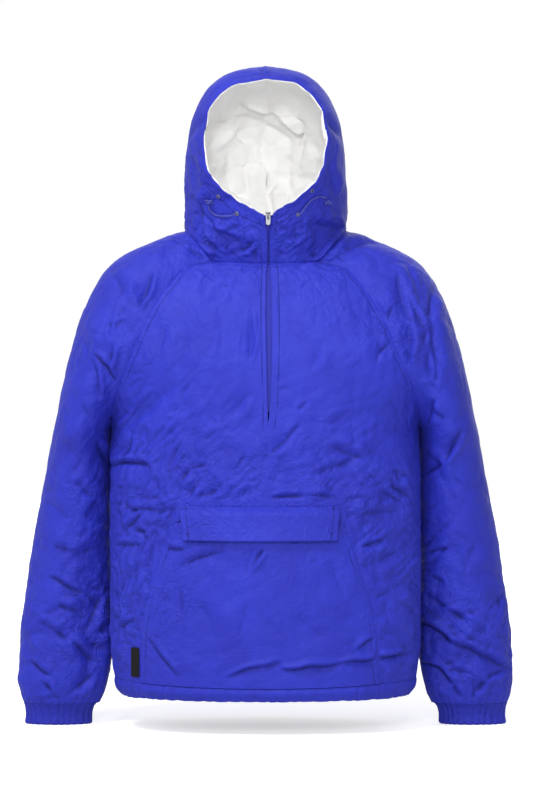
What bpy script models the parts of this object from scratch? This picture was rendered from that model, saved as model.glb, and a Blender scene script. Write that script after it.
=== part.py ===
"""Hooded half-zip anorak pullover, hollow as worn, standing on its own form.

Lengths are millimetres until a mesh is made. X runs across the garment, the front
faces -Y and Z is up. The origin lies in the neck opening, where the wearer's neck
and shoulders hold the garment.
"""

import bmesh
import bpy
import numpy as np
from mathutils import Matrix, Vector
from mathutils.bvhtree import BVHTree

MM = 0.001

# ---------------------------------------------------------------- driving sizes
WALL = 2.4                    # shell, wadding and lining quilted into one wall
SEAM_GAP = 0.3                # clear distance between two pieces at their seam
LINING_WALL = 1.6
LINING_GAP = 0.6              # between the hood shell and its lining
LINING_INSET = 1.2            # between the lining's front edges and the placket's inner column
POCKET_WALL = 1.8
FLAP_WALL = 2.6
HEM_WALL = 3.6                # turned casing with its elastic
CUFF_WALL = 3.0
PLACKET_WIDTH = 16.0          # from the zip edge to the placket's outer stitch line
TAPE_WALL = 0.8
TAPE_WIDTH = 12.0
TAPE_CLEAR = 0.8              # between the tapes and the cloth over them
CHAIN_WALL = 1.5
CHAIN_CLEAR = 0.5
CHAIN_WIDTH = 5.0
POCKET_SLACK = 8.0            # how far the pocket's middle stands off the front
FLAP_CLEAR = 2.6              # between the flap and the pocket, more than the facets' sag
FLAP_TAPER = 0.0012           # share of its width that the flap loses for each mm it falls
CORD_DIAMETER = 2.4
CORD_STEP = 4.8               # between two points of the cord
CORD_CLEAR = 0.8              # between the cord and the hood, more than its facets' sag
CORD_RISE = (2.2, 1.6, 0.4, 0.0)   # how much higher the cord's first points stand
KNOT_SIZE = (7.0, 5.6, 4.8)
KNOT_CLEAR = 0.4              # between the knot and the hood
LABEL = {"left": -203.0, "right": -190.5, "top": -622.5, "foot": -667.5, "wall": 0.8}
LABEL_LIFT = 0.6              # between the label and the front, more than the facets' sag

# cells across each piece
PLACKET_CELLS = 1
POCKET_CELLS = 3              # from the placket to the pocket's side edge
SIDE_CELLS = 3                # from the pocket's edge to the side or raglan seam
BACK_CELLS = 5                # from the spine to the side or raglan seam
SLEEVE_CELLS = 14
SPLIT_SLOPE = np.array([0.3, 0.5, 1.0])   # which way is up where a seam's edge wall is split
ROW_SAMPLES = 241             # points a body row is measured at
LINE_SAMPLES = 24             # points between two given points of the cord


def table(names, rows):
    """A table with named columns, one row for each section."""
    return np.array(rows, dtype=[(name, float) for name in names.split()])


# Sleeve sections from the neck to the wrist. An outer point lies on the sleeve's
# outline, front and back points on the raglan seams, and from the underarm down both
# of them are the inner point. turn is the angle that half the section bends through.
SLEEVE = table(
    "outer_x outer_z front_x front_z back_x back_z centre_y front_depth back_depth turn",
    [
        (125.0, 14.0, 82.0, -38.0, 70.0, 30.0, 5.0, 76.0, 82.0, 90.0),
        (161.0, 2.5, 118.0, -46.0, 105.0, 10.0, 8.0, 86.0, 97.0, 90.0),
        (205.0, -15.5, 152.6, -84.0, 143.0, -50.0, 10.0, 110.0, 115.0, 90.0),
        (245.5, -43.5, 178.0, -125.0, 172.0, -105.0, 12.0, 124.0, 119.0, 90.0),
        (277.5, -98.0, 205.0, -188.0, 203.0, -175.0, 14.0, 130.0, 118.0, 105.0),
        (300.0, -163.0, 223.5, -231.0, 223.5, -225.0, 16.0, 117.0, 110.0, 120.0),
        (315.0, -225.0, 234.4, -266.0, 234.4, -264.0, 18.0, 107.0, 102.0, 143.0),
        (323.0, -263.0, 238.5, -288.0, 238.5, -288.0, 19.5, 100.0, 100.0, 162.0),
        (329.5, -294.0, 240.5, -300.0, 240.5, -300.0, 20.0, 96.0, 96.0, 180.0),
        (336.5, -327.0, 239.8, -332.0, 239.8, -332.0, 33.0, 92.0, 92.0, 180.0),
        (349.0, -393.0, 238.0, -400.0, 238.0, -400.0, 40.0, 85.0, 85.0, 180.0),
        (361.8, -455.0, 238.5, -460.0, 238.5, -460.0, 43.0, 78.0, 78.0, 180.0),
        (371.0, -515.0, 240.5, -518.0, 240.5, -518.0, 45.0, 70.0, 70.0, 180.0),
        (379.0, -572.0, 243.0, -573.0, 243.0, -573.0, 45.0, 63.0, 63.0, 180.0),
        (384.0, -612.0, 246.0, -612.0, 246.0, -612.0, 43.0, 58.0, 58.0, 180.0),
        (386.0, -650.0, 249.0, -650.0, 249.0, -650.0, 40.0, 53.0, 53.0, 180.0),
        (386.0, -680.0, 251.5, -680.0, 251.5, -680.0, 37.0, 47.0, 47.0, 180.0),
        (383.5, -703.0, 256.0, -703.0, 256.0, -703.0, 34.0, 39.0, 39.0, 180.0),
        (378.0, -718.0, 262.0, -718.0, 262.0, -718.0, 32.0, 30.0, 30.0, 180.0),
    ],
)
UNDERARM = 8                  # the sleeve section where the raglan seams meet
BODY_STRAIGHT = 0.56          # share of a body row's half width that it heads straight across

CUFF = table(
    "outer_x inner_x z depth",
    [
        (378.0, 262.0, -718.0, 30.0),
        (375.0, 268.5, -727.0, 25.0),
        (374.0, 271.0, -739.0, 23.0),
        (375.5, 271.0, -750.5, 24.5),
    ],
)

# Body rows from the neck seam down to the hem seam. The first rows end on the raglan
# seams, so only the rows under the arm give a half width. lie is the angle between the
# cloth's run into its side edge and the X axis, and full is how far that run carries on,
# as a fraction of the row's span. pocket_* is the distance from X = 0 of the line that
# the pocket's side edge follows, and zip_gap is half the gap between the zip's lips.
BODY = table(
    "chest_z chest_y front_lie front_full spine_z spine_y back_lie back_full "
    "half_width side_y side_z pocket_left pocket_right centre_x zip_gap",
    [
        (-41.0, -95.0, 33.0, 0.31, 35.0, 105.0, 33.0, 0.31, 0, 0, 0, 50.0, 50.0, 4.0, 0.9),
        (-55.0, -104.0, 25.0, 0.31, 22.0, 113.0, 22.0, 0.31, 0, 0, 0, 72.0, 72.0, 4.0, 1.6),
        (-95.0, -120.0, 20.0, 0.31, -30.0, 127.0, 14.0, 0.31, 0, 0, 0, 92.0, 92.0, 4.2, 3.6),
        (-134.0, -131.0, 20.0, 0.31, -90.0, 136.0, 14.0, 0.31, 0, 0, 0, 105.0, 105.0, 4.4, 4.6),
        (-192.0, -139.0, 30.0, 0.31, -165.0, 141.0, 22.0, 0.31, 0, 0, 0, 116.0, 113.0, 4.8, 4.4),
        (-233.0, -141.0, 45.0, 0.31, -215.0, 141.0, 38.0, 0.31, 0, 0, 0, 122.0, 114.0, 5.0, 3.4),
        (-267.0, -142.0, 62.0, 0.33, -255.0, 139.0, 58.0, 0.31, 0, 0, 0, 125.0, 113.0, 4.6, 1.2),
        (-289.0, -142.5, 78.0, 0.38, -280.0, 138.0, 76.0, 0.32, 0, 0, 0, 126.5, 112.0, 3.0, 0.0),
        (-303.0, -143.0, 90.0, 0.43, -300.0, 137.0, 90.0, 0.33, 0, 0, 0, 127.0, 111.0, 2.0, 0.0),
        (-332.0, -143.5, 90.0, 0.37, -332.0, 135.5, 90.0, 0.34, 239.5, 2.0, -332.0, 127.0, 110.0, 0.0, 0.0),
        (-370.0, -144.0, 90, 0.33, -370.0, 133.5, 90, 0.33, 240.0, -9.0, -370.0, 127.0, 109.0, -1.0, 0.0),
        (-407.5, -144.0, 90, 0.31, -407.5, 132.0, 90, 0.32, 240.0, -14.0, -407.5, 127.0, 110.0, -2.0, 0.0),
        (-433.0, -144.0, 90, 0.31, -433.0, 131.0, 90, 0.31, 240.0, -15.0, -433.0, 137.0, 117.0, -2.0, 0.0),
        (-457.0, -144.0, 90, 0.31, -457.0, 131.0, 90, 0.31, 240.0, -15.0, -457.0, 146.0, 125.0, -2.0, 0.0),
        (-510.0, -144.0, 90, 0.31, -510.0, 131.0, 90, 0.31, 240.0, -15.0, -508.0, 165.0, 142.5, -2.0, 0.0),
        (-560.0, -143.5, 90, 0.31, -560.0, 131.0, 90, 0.31, 240.0, -15.0, -557.0, 178.5, 157.0, -2.0, 0.0),
        (-610.0, -143.0, 90, 0.31, -610.0, 131.0, 90, 0.31, 239.5, -15.0, -606.0, 186.0, 165.5, -2.0, 0.0),
        (-646.0, -142.0, 90, 0.31, -646.0, 130.0, 90, 0.31, 237.5, -15.0, -641.0, 187.0, 167.0, -2.0, 0.0),
        (-679.0, -140.0, 90, 0.31, -679.0, 128.0, 90, 0.31, 233.0, -15.0, -672.0, 188.0, 171.0, -2.0, 0.0),
    ],
)
ZIP_ROWS = 7                  # body rows that the zip runs down past
FLAP_TOP = 11                 # body row that the pocket flap is sewn along
POCKET_MOUTH = 12             # body row of the pocket's mouth
FLAP_END = 13                 # body row of the flap's free edge

HEM = table(
    "half_width chest_y spine_y z",
    [(230.0, -139.5, 127.5, -688.0), (221.0, -133.5, 121.5, -699.5)],
)

# The hood's face edge, from the chin to the top.
FACE = table(
    "x y z",
    [
        (4.0, -126.0, 28.9), (28.6, -125.0, 41.0), (46.7, -123.5, 53.0), (61.7, -122.0, 65.0),
        (75.3, -120.5, 77.1), (84.3, -119.0, 89.1), (91.1, -116.5, 113.2), (94.1, -114.0, 137.3),
        (94.1, -111.5, 161.4), (91.1, -109.0, 185.4), (83.5, -107.5, 197.5), (75.3, -106.5, 209.5),
        (63.2, -105.5, 221.6), (40.6, -105.0, 233.6), (0.0, -105.0, 239.6),
    ],
)

# How the hood's cloth leaves the neck seam and reaches the face edge, along the way
# from the zip (0) to the centre back seam (1).
HOOD = table(
    "way neck_x neck_y neck_z face_x face_y face_z",
    [
        (0.00, 0.0, -12.0, 22.0, 0.0, 4.0, -20.0),
        (0.15, 4.0, -14.0, 26.0, 12.0, 12.0, -14.0),
        (0.35, 4.0, -8.0, 45.0, 28.0, 38.0, -10.0),
        (0.55, 2.0, 16.0, 72.0, 34.0, 70.0, 0.0),
        (0.75, 16.0, 62.0, 108.0, 46.0, 118.0, 56.0),
        (0.90, 16.0, 92.0, 121.0, 41.0, 145.0, 88.0),
        (1.00, 0.0, 102.0, 124.0, 0.0, 152.0, 94.0),
    ],
)
HOOD_STEPS = np.array([0.0, 0.13, 0.30, 0.47, 0.64, 0.80, 0.92, 1.0])
HOOD_LIPS = np.array([0.9, 0.9, 0.9, 1.0, 2.0, 4.7, 6.0, 6.6])   # half the zip's gap there
POCKET_BULGE = (0.85, 1.0, 1.0, 0.75, 0.4, 0.12, 0.0)   # share of the slack, mouth to hem

# The drawcord's way over the hood, from the lower eyelet, seen from the front.
CORD_LEFT = table(
    "x z",
    [
        (-43.2, 32.2), (-48.9, 30.6), (-56.0, 29.6), (-63.9, 29.6), (-75.5, 32.1),
        (-82.7, 38.8), (-85.0, 45.6),
    ],
)
CORD_RIGHT = table(
    "x z",
    [
        (49.5, 31.2), (54.1, 35.8), (60.5, 44.4), (67.4, 53.0), (75.4, 57.6),
        (83.5, 59.4), (90.0, 57.4),
    ],
)
FITTINGS = table(
    "side eyelet_x eyelet_z upper_x upper_z knot_x knot_z",
    [(-1, -43.2, 32.2, -71.0, 58.5, -82.4, 51.6), (1, 49.5, 31.2, 70.0, 66.5, 91.4, 51.2)],
)

# An eyelet's profile: radius, and height over the hood's casing.
EYELET = table("radius height", [(3.2, 0.3), (3.2, 0.84), (2.7, 1.2), (1.7, 1.2), (1.7, 0.3)])
EYELET_SIDES = 16

SLIDER = {"length": 11.0, "top": 7.4, "foot": 5.8, "clear": 0.3, "depth": 2.6, "bevel": 0.5}
SLIDER_SHARE = 0.25           # how far down the zip's first row the slider's middle sits
# The bridge on the slider's face that the pull hangs in: out from the face, and up.
BRIDGE = table(
    "out up",
    [
        (-0.6, 5.2), (2.2, 4.9), (3.4, 4.0), (3.4, -2.6), (2.2, -3.8), (-0.6, -4.2),
        (-0.6, -3.1), (2.2, -2.4), (2.2, 3.6), (1.7, 4.1), (-0.6, 4.2),
    ],
)
BRIDGE_WIDTH = 1.6
PULL = {"width": 6.8, "above": 0.7, "length": 15.8, "slot": 3.0, "slot_end": 8.2, "wall": 1.1}
PULL_SIDES = 24
HINGE = {"up": 3.0, "out": 4.0}   # the pull's axis from the slider's middle on the zip tape


# ---------------------------------------------------------------- cloth surfaces
def bezier(controls, t):
    """Points of the cubic Bezier curve through four control points."""
    t = np.atleast_1d(t)[:, None]
    a, b, c, d = (np.asarray(point, float) for point in controls)
    return (1 - t) ** 3 * a + 3 * (1 - t) ** 2 * t * b + 3 * (1 - t) * t ** 2 * c + t ** 3 * d


def sleeve_arc(section, steps):
    """One sleeve section, from its front edge over the outer point to its back edge.

    steps runs from -1 at the front edge to 1 at the back edge; the angle is steps * turn.
    """
    turn = np.radians(section["turn"])
    angle = np.abs(steps) * turn
    reach = (1 - np.cos(angle)) / (1 - np.cos(turn))
    ahead = steps < 0
    end_x = np.where(ahead, section["front_x"], section["back_x"])
    end_z = np.where(ahead, section["front_z"], section["back_z"])
    depth = np.where(ahead, -section["front_depth"], section["back_depth"])
    x = section["outer_x"] + (end_x - section["outer_x"]) * reach
    z = section["outer_z"] + (end_z - section["outer_z"]) * reach
    y = section["centre_y"] + depth * np.sin(angle)
    return np.stack([x, y, z], axis=-1)


def sleeve_grid():
    """The sleeve on the +X side: a row for each section."""
    steps = np.linspace(-1, 1, SLEEVE_CELLS + 1)
    return np.array([sleeve_arc(section, steps) for section in SLEEVE])


def side_end(row, edge):
    """Where a body row ends: on the raglan seam, or on the side seam under the arm."""
    if row <= UNDERARM:
        return sleeve_arc(SLEEVE[row], np.array([edge]))[0]
    section = BODY[row]
    return np.array([section["half_width"], section["side_y"], section["side_z"]])


def row_controls(row, edge):
    """Bezier controls of a body row from its middle to its side end, front or back."""
    section = BODY[row]
    name = "chest" if edge < 0 else "spine"
    side = "front" if edge < 0 else "back"
    lie = np.radians(section[side + "_lie"])
    start = np.array([0.0, section[name + "_y"], section[name + "_z"]])
    end = side_end(row, edge)
    span = np.linalg.norm(end - start)
    out = start + np.array([BODY_STRAIGHT * end[0], 0.0, 0.0])
    home = end + section[side + "_full"] * span * np.array([-np.cos(lie), edge * np.sin(lie), 0.0])
    return start, out, home, end


def at_distance(controls, x):
    """Points of a body row at the given distances from X = 0; the row is symmetric."""
    t = np.linspace(0, 1, ROW_SAMPLES)
    line = bezier(controls, t)
    found = np.interp(np.abs(x), line[:, 0], t)
    points = bezier(controls, found)
    points[:, 0] = x
    return points, found


def front_grid(side):
    """One front half, on the +X side, from the zip edge out to the raglan and side seams."""
    rows = []
    for row, section in enumerate(BODY):
        controls = row_controls(row, -1)
        edge = side * section["centre_x"] + section["zip_gap"]
        pocket = section["pocket_right" if side > 0 else "pocket_left"]
        inner = np.append(edge, np.linspace(edge + PLACKET_WIDTH, pocket, POCKET_CELLS + 1))
        near, found = at_distance(controls, inner)
        far = bezier(controls, np.linspace(found[-1], 1, SIDE_CELLS + 1)[1:])
        rows.append(np.vstack([near, far]))
    return np.array(rows)


def back_half_grid():
    """Half of the back, on the +X side, from the raglan and side seams in to the spine."""
    steps = np.linspace(1, 0, BACK_CELLS + 1)
    return np.array([bezier(row_controls(row, 1), steps) for row in range(len(BODY))])


def mirrored(grid, side):
    """The grid on the side asked for, made for the +X side."""
    return grid * np.array([side, 1.0, 1.0])


def along(points, ways):
    """Points at the given fractions of a line's length."""
    run = np.append(0.0, np.cumsum(np.linalg.norm(np.diff(points, axis=0), axis=1)))
    return np.stack([np.interp(ways, run / run[-1], points[:, axis]) for axis in range(3)], axis=-1)


def neck_line(side):
    """The neck seam on one side, from the zip to the spine, through its panels' points."""
    front = front_grid(side)[0]
    sleeve = sleeve_grid()[0]
    back = back_half_grid()[0]
    return np.vstack([front, sleeve[1:], back[1:]])


def hood_grid(side):
    """One hood half, on the +X side, as Bezier runs from the neck seam to the face edge."""
    neck = neck_line(side)
    run = np.append(0.0, np.cumsum(np.linalg.norm(np.diff(neck, axis=0), axis=1)))
    ways = run / run[-1]
    face = along(np.stack([FACE[name] for name in "xyz"], axis=-1), ways)
    leave = np.stack([np.interp(ways, HOOD["way"], HOOD["neck_" + name]) for name in "xyz"], axis=-1)
    reach = np.stack([np.interp(ways, HOOD["way"], HOOD["face_" + name]) for name in "xyz"], axis=-1)
    runs = [
        bezier((start, start + go, end + come, end), HOOD_STEPS)
        for start, go, come, end in zip(neck, leave, reach, face)
    ]
    grid = np.swapaxes(np.array(runs), 0, 1)
    grid[1:, 0, 0] = side * BODY["centre_x"][0] + HOOD_LIPS[1:]
    return grid


def hem_grid(top):
    """The hem casing, from the points of the hem seam down to its lower fold."""
    rows = [top]
    for section in HEM:
        scale_x = section["half_width"] / BODY["half_width"][-1]
        front = section["chest_y"] / BODY["chest_y"][-1]
        back = section["spine_y"] / BODY["spine_y"][-1]
        scale_y = np.where(top[:, 1] < 0, front, back)
        level = np.full(len(top), section["z"])
        rows.append(np.stack([top[:, 0] * scale_x, top[:, 1] * scale_y, level], axis=-1))
    return np.array(rows)


def cuff_grid():
    """The cuff on the +X side, a ring for each section."""
    angle = np.linspace(-np.pi, np.pi, SLEEVE_CELLS + 1)
    centre_y = SLEEVE["centre_y"][-1]
    rows = []
    for section in CUFF:
        middle = (section["outer_x"] + section["inner_x"]) / 2
        half = (section["outer_x"] - section["inner_x"]) / 2
        x = middle + half * np.cos(angle)
        y = centre_y + section["depth"] * np.sin(angle)
        rows.append(np.stack([x, y, np.full(len(angle), section["z"])], axis=-1))
    return np.array(rows)


# ---------------------------------------------------------------- walls
def outward_normals(grid):
    """Unit normals of a grid of points, pointing away from each row's middle."""
    down, across = np.gradient(grid, axis=(0, 1))
    normals = np.cross(down, across)
    normals /= np.linalg.norm(normals, axis=-1, keepdims=True)
    outside = np.sum(normals * (grid - grid.mean(axis=1, keepdims=True)))
    return normals if outside > 0 else -normals


def shared_normals(grids):
    """Normals of all the panels, with one common normal wherever panels share a point."""
    normals = {name: outward_normals(grid) for name, grid in grids.items()}
    points = np.vstack([grid.reshape(-1, 3) for grid in grids.values()])
    loose = np.vstack([normals[name].reshape(-1, 3) for name in grids])
    keys, where = np.unique(np.round(points, 3), axis=0, return_inverse=True)
    total = np.zeros_like(keys)
    np.add.at(total, where.ravel(), loose)
    length = np.linalg.norm(total, axis=1, keepdims=True)
    total /= np.maximum(length, 1e-9)
    shared = total[where.ravel()]
    start = 0
    for name, grid in grids.items():
        count = grid.shape[0] * grid.shape[1]
        normals[name] = shared[start:start + count].reshape(grid.shape)
        start += count
        # under the arm the body's cloth and the sleeve's turn away from each other
        underarm = np.isclose(np.abs(grid), np.abs(side_end(UNDERARM, 1)), atol=0.01).all(axis=-1)
        away = -np.sign(grid[underarm, 0]) if name.startswith("sleeve") else np.sign(grid[underarm, 0])
        normals[name][underarm] = np.stack([away, 0 * away, -np.ones_like(away)], axis=-1) / np.sqrt(2)
    return normals


def drawn_in(grid, normals, sides):
    """The grid with the named border lines moved inwards by their distances."""
    moved = grid.copy()
    lines = {
        "top": ((0, slice(None)), (1, slice(None))),
        "bottom": ((-1, slice(None)), (-2, slice(None))),
        "start": ((slice(None), 0), (slice(None), 1)),
        "end": ((slice(None), -1), (slice(None), -2)),
    }
    for side, distance in sides.items():
        border, inside = lines[side]
        line = grid[border]
        facing = normals[border][1:] + normals[border][:-1]
        across = np.cross(np.diff(line, axis=0), facing)
        across /= np.linalg.norm(across, axis=1, keepdims=True)
        middle = (grid[inside] - line)[1:] + (grid[inside] - line)[:-1]
        if np.sum(across * middle) < 0:
            across = -across
        before = np.vstack([across[:1], across])
        after = np.vstack([across, across[-1:]])
        mitre = (before + after) / (1.0 + np.sum(before * after, axis=1, keepdims=True))
        moved[border] += mitre * distance
    return moved


def wall_mesh(name, outer, inner, shorter=False):
    """A closed mesh between two grids of the same shape, split along each cell's first
    diagonal, or along its shorter one.
    """
    rows, columns = outer.shape[:2]
    count = rows * columns
    index = np.arange(count).reshape(rows, columns)
    faces = []
    for r in range(rows - 1):
        for c in range(columns - 1):
            a, b, far_b, far_a = index[r, c], index[r, c + 1], index[r + 1, c + 1], index[r + 1, c]
            first = np.linalg.norm(outer[r, c] - outer[r + 1, c + 1])
            second = np.linalg.norm(outer[r, c + 1] - outer[r + 1, c])
            halves = ((a, b, far_b), (a, far_b, far_a))
            if shorter and second < first:
                halves = ((a, b, far_a), (b, far_b, far_a))
            for face in halves:
                faces.append(face)
                faces.append(tuple(i + count for i in reversed(face)))
    loop = np.concatenate([index[0, :-1], index[:-1, -1], index[-1, :0:-1], index[:0:-1, 0]])
    height = outer.reshape(-1, 3) @ SPLIT_SLOPE
    for a, b in zip(loop, np.roll(loop, -1)):
        low, high = (b, a) if height[a] > height[b] else (a, b)
        faces.append((b, a, high + count))
        faces.append((low, a + count, b + count))
    vertices = np.vstack([outer.reshape(-1, 3), inner.reshape(-1, 3)]) * MM
    mesh = bpy.data.meshes.new(name)
    mesh.from_pydata(vertices.tolist(), [], [[int(i) for i in face] for face in faces])
    shape = bmesh.new()
    shape.from_mesh(mesh)
    bmesh.ops.recalc_face_normals(shape, faces=shape.faces)
    shape.to_mesh(mesh)
    shape.free()
    return mesh


def add_object(name, mesh, material):
    """An object for the mesh, with its own material, linked into the scene."""
    thing = bpy.data.objects.new(name, mesh)
    mesh.materials.append(material)
    bpy.context.scene.collection.objects.link(thing)
    return thing


def plain_material(name, colour, roughness=0.55, metallic=0.0):
    """A Principled material from a linear colour."""
    material = bpy.data.materials.new(name)
    material.use_nodes = True
    principled = material.node_tree.nodes["Principled BSDF"]
    principled.inputs["Base Color"].default_value = (*colour, 1.0)
    principled.inputs["Roughness"].default_value = roughness
    principled.inputs["Metallic"].default_value = metallic
    return material


def panel(name, grid, normals, seams, colour, wall=WALL, lift=0.0):
    """A piece of cloth: the grid moved out by lift, with its wall behind it."""
    border = {side: SEAM_GAP / 2 for side in seams}
    placed = drawn_in(grid, normals, border)
    outer = placed + normals * lift
    inner = outer - normals * wall
    mesh = wall_mesh(name, outer, inner, shorter=name.startswith(("sleeve", "back")))
    return add_object(name, mesh, plain_material(name, colour))


# ---------------------------------------------------------------- colours (linear)
BLUE = (0.056, 0.063, 0.565)
DARK_BLUE = (0.031, 0.037, 0.333)
WHITE = (0.83, 0.82, 0.79)
BLACK = (0.006, 0.006, 0.007)
STEEL = (0.55, 0.55, 0.56)


# ---------------------------------------------------------------- garment
def clear_scene():
    """Remove every object that the file opened with."""
    for thing in list(bpy.data.objects):
        bpy.data.objects.remove(thing, do_unlink=True)


def build_shell():
    """Fronts, back, sleeves, cuffs, hem casing and hood halves, with their linings."""
    grids = {}
    for word, side in (("left", -1), ("right", 1)):
        grids["front_" + word] = mirrored(front_grid(side), side)
        grids["sleeve_" + word] = mirrored(sleeve_grid(), side)
        grids["cuff_" + word] = mirrored(cuff_grid(), side)
        grids["hood_" + word] = mirrored(hood_grid(side), side)
    half = back_half_grid()
    grids["back"] = np.hstack([half, mirrored(half, -1)[:, -2::-1]])
    left, right, back = (grids[name][-1] for name in ("front_left", "front_right", "back"))
    around = np.vstack([left[::-1], right[1:], back[1:]])
    grids["hem_band"] = hem_grid(around)
    normals = shared_normals(grids)
    seams = {
        "front": ("top", "bottom", "start", "end"),
        "sleeve": ("top", "bottom", "start", "end"),
        "back": ("top", "bottom", "start", "end"),
        "cuff": ("top", "start", "end"),
        "hood": ("top", "start", "end"),
        "hem": ("top", "start", "end"),
    }
    walls = {"hem": HEM_WALL, "cuff": CUFF_WALL}
    colours = {"cuff": DARK_BLUE}
    for name, grid in grids.items():
        kind = name.split("_")[0]
        panel(name, grid, normals[name], seams[kind], colours.get(kind, BLUE), walls.get(kind, WALL))
    for word in ("left", "right"):
        grid = grids["hood_" + word][:, 1:]
        facing = normals["hood_" + word][:, 1:]
        inside = drawn_in(grid, facing, {"start": LINING_INSET, "end": SEAM_GAP / 2, "top": SEAM_GAP / 2})
        outer = inside - facing * (WALL + LINING_GAP)
        name = "hood_lining_" + word
        mesh = wall_mesh(name, outer, outer - facing * LINING_WALL)
        add_object(name, mesh, plain_material(name, WHITE, 0.8))
    return grids, normals


def zip_line(grids, normals, side):
    """The zip edge's inner points and normals, those of the placket level with them,
    and the zip's middle, from the top down.
    """
    word = "right" if side > 0 else "left"
    hood = slice(-1, 0, -1)
    front = slice(0, ZIP_ROWS)
    lines = []
    for column in (0, 1):
        points, facing = (
            np.vstack([of["hood_" + word][hood, column], of["front_" + word][front, column]])
            for of in (grids, normals)
        )
        lines.append(np.hstack([points - facing * WALL, facing]))
    edge, placket = lines
    level = [np.interp(-edge[:, 2], -placket[:, 2], placket[:, axis]) for axis in range(6)]
    hood_rows = len(edge) - ZIP_ROWS
    centre = np.append(np.full(hood_rows, BODY["centre_x"][0]), BODY["centre_x"][front])
    return edge, np.stack(level, axis=-1), centre


def zip_strip(line, distances, depth):
    """A strip behind the zip's lips, through the given distances from the zip's middle."""
    edge, placket, centre = line
    columns = []
    for distance in distances:
        x = centre + distance
        share = (x - edge[:, 0]) / (placket[:, 0] - edge[:, 0])
        column = edge + (placket - edge) * share[:, None]
        facing = column[:, 3:] * np.array([0.0, 1.0, 1.0])
        facing /= np.linalg.norm(facing, axis=1, keepdims=True)
        columns.append(np.hstack([column[:, :3] - facing * depth, facing]))
    strip = np.stack(columns, axis=1)
    return strip[:, :, :3], strip[:, :, 3:]


def build_zip(grids, normals):
    """Two tapes behind the lips, the closed chain behind them, the slider and its pull."""
    halves = []
    for word, side in (("left", -1), ("right", 1)):
        line = zip_line(grids, normals, side)
        strip, facing = zip_strip(line, (side * SEAM_GAP / 2, side * TAPE_WIDTH), TAPE_CLEAR)
        name = "zip_tape_" + word
        tape = wall_mesh(name, strip, strip - facing * TAPE_WALL)
        add_object(name, tape, plain_material(name, DARK_BLUE))
        behind = TAPE_CLEAR + TAPE_WALL + CHAIN_CLEAR
        halves.append(zip_strip(line, (side * CHAIN_WIDTH / 2, 0.0), behind))
    strip, facing = (np.hstack([left, right[:, :1]]) for left, right in zip(*halves))
    mesh = wall_mesh("zip_chain", strip, strip - facing * CHAIN_WALL)
    add_object("zip_chain", mesh, plain_material("zip_chain", DARK_BLUE))
    place = slider_place(line)
    slider = build_slider()
    slider.matrix_world = place
    pull = build_pull()
    pull.location = place @ Vector((0.0, -HINGE["out"] * MM, HINGE["up"] * MM))


def slider_place(line):
    """Where the slider sits: its middle on the tapes' face, Z up the zip and -Y outwards."""
    strip, _ = zip_strip(line, (0.0,), TAPE_CLEAR)
    top, low = Vector(strip[0, 0] * MM), Vector(strip[1, 0] * MM)
    up = (top - low).normalized()
    across = Vector((1.0, 0.0, 0.0))
    back = up.cross(across).normalized()
    place = Matrix((across, back, up)).transposed().to_4x4()
    place.translation = top.lerp(low, SLIDER_SHARE)
    return place


def prism(name, outline, low, high):
    """A closed prism of a convex or plain outline in Y and Z, between two X values."""
    shape = bmesh.new()
    ends = []
    for x in (low, high):
        ends.append([shape.verts.new((x * MM, y * MM, z * MM)) for y, z in outline])
    shape.faces.new(ends[0])
    shape.faces.new(ends[1])
    for i in range(len(outline)):
        j = (i + 1) % len(outline)
        shape.faces.new((ends[0][i], ends[0][j], ends[1][j], ends[1][i]))
    bmesh.ops.recalc_face_normals(shape, faces=shape.faces)
    mesh = bpy.data.meshes.new(name)
    shape.to_mesh(mesh)
    shape.free()
    return mesh


def build_slider():
    """The slider's front plate, with the bridge that the pull hangs in."""
    half = SLIDER["length"] / 2
    front = -SLIDER["clear"] - SLIDER["depth"]
    plate = bmesh.new()
    corners = []
    for y in (-SLIDER["clear"], front):
        bevel = SLIDER["bevel"] if y == front else 0.0
        for z, width in ((half - bevel, SLIDER["top"]), (-half + bevel, SLIDER["foot"])):
            for x in (-width / 2 + bevel, width / 2 - bevel):
                corners.append(plate.verts.new((x * MM, y * MM, z * MM)))
    bmesh.ops.convex_hull(plate, input=corners)
    mesh = bpy.data.meshes.new("zip_slider")
    plate.to_mesh(mesh)
    plate.free()
    slider = add_object("zip_slider", mesh, plain_material("zip_slider", STEEL, 0.25, 1.0))
    outline = [(front - point["out"], point["up"]) for point in BRIDGE]
    arch = prism("slider_bridge", outline, -BRIDGE_WIDTH / 2, BRIDGE_WIDTH / 2)
    bridge = bpy.data.objects.new("slider_bridge", arch)
    bridge.display_type = "WIRE"
    bridge.hide_render = True
    bridge.parent = slider
    bpy.context.scene.collection.objects.link(bridge)
    join = slider.modifiers.new("bridge", "BOOLEAN")
    join.operation = "UNION"
    join.object = bridge
    return slider


def rounded_loop(width, top, bottom, count):
    """Points round an upright rounded rectangle in X and Z: a superellipse of power 4."""
    angle = np.linspace(0, 2 * np.pi, count, endpoint=False)
    across = np.sign(np.cos(angle)) * np.sqrt(np.abs(np.cos(angle)))
    up = np.sign(np.sin(angle)) * np.sqrt(np.abs(np.sin(angle)))
    return width / 2 * across, (top + bottom) / 2 + (top - bottom) / 2 * up


def tube_wall(name, loops):
    """A closed ring-shaped mesh through loops of points, each joined to the next."""
    count = len(loops[0])
    faces = []
    for ring in range(len(loops)):
        here, there = ring * count, (ring + 1) % len(loops) * count
        for i in range(count):
            j = (i + 1) % count
            faces.append((here + i, here + j, there + j, there + i))
    mesh = bpy.data.meshes.new(name)
    mesh.from_pydata((np.vstack(loops) * MM).tolist(), [], faces)
    shape = bmesh.new()
    shape.from_mesh(mesh)
    bmesh.ops.recalc_face_normals(shape, faces=shape.faces)
    shape.to_mesh(mesh)
    shape.free()
    return mesh


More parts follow.
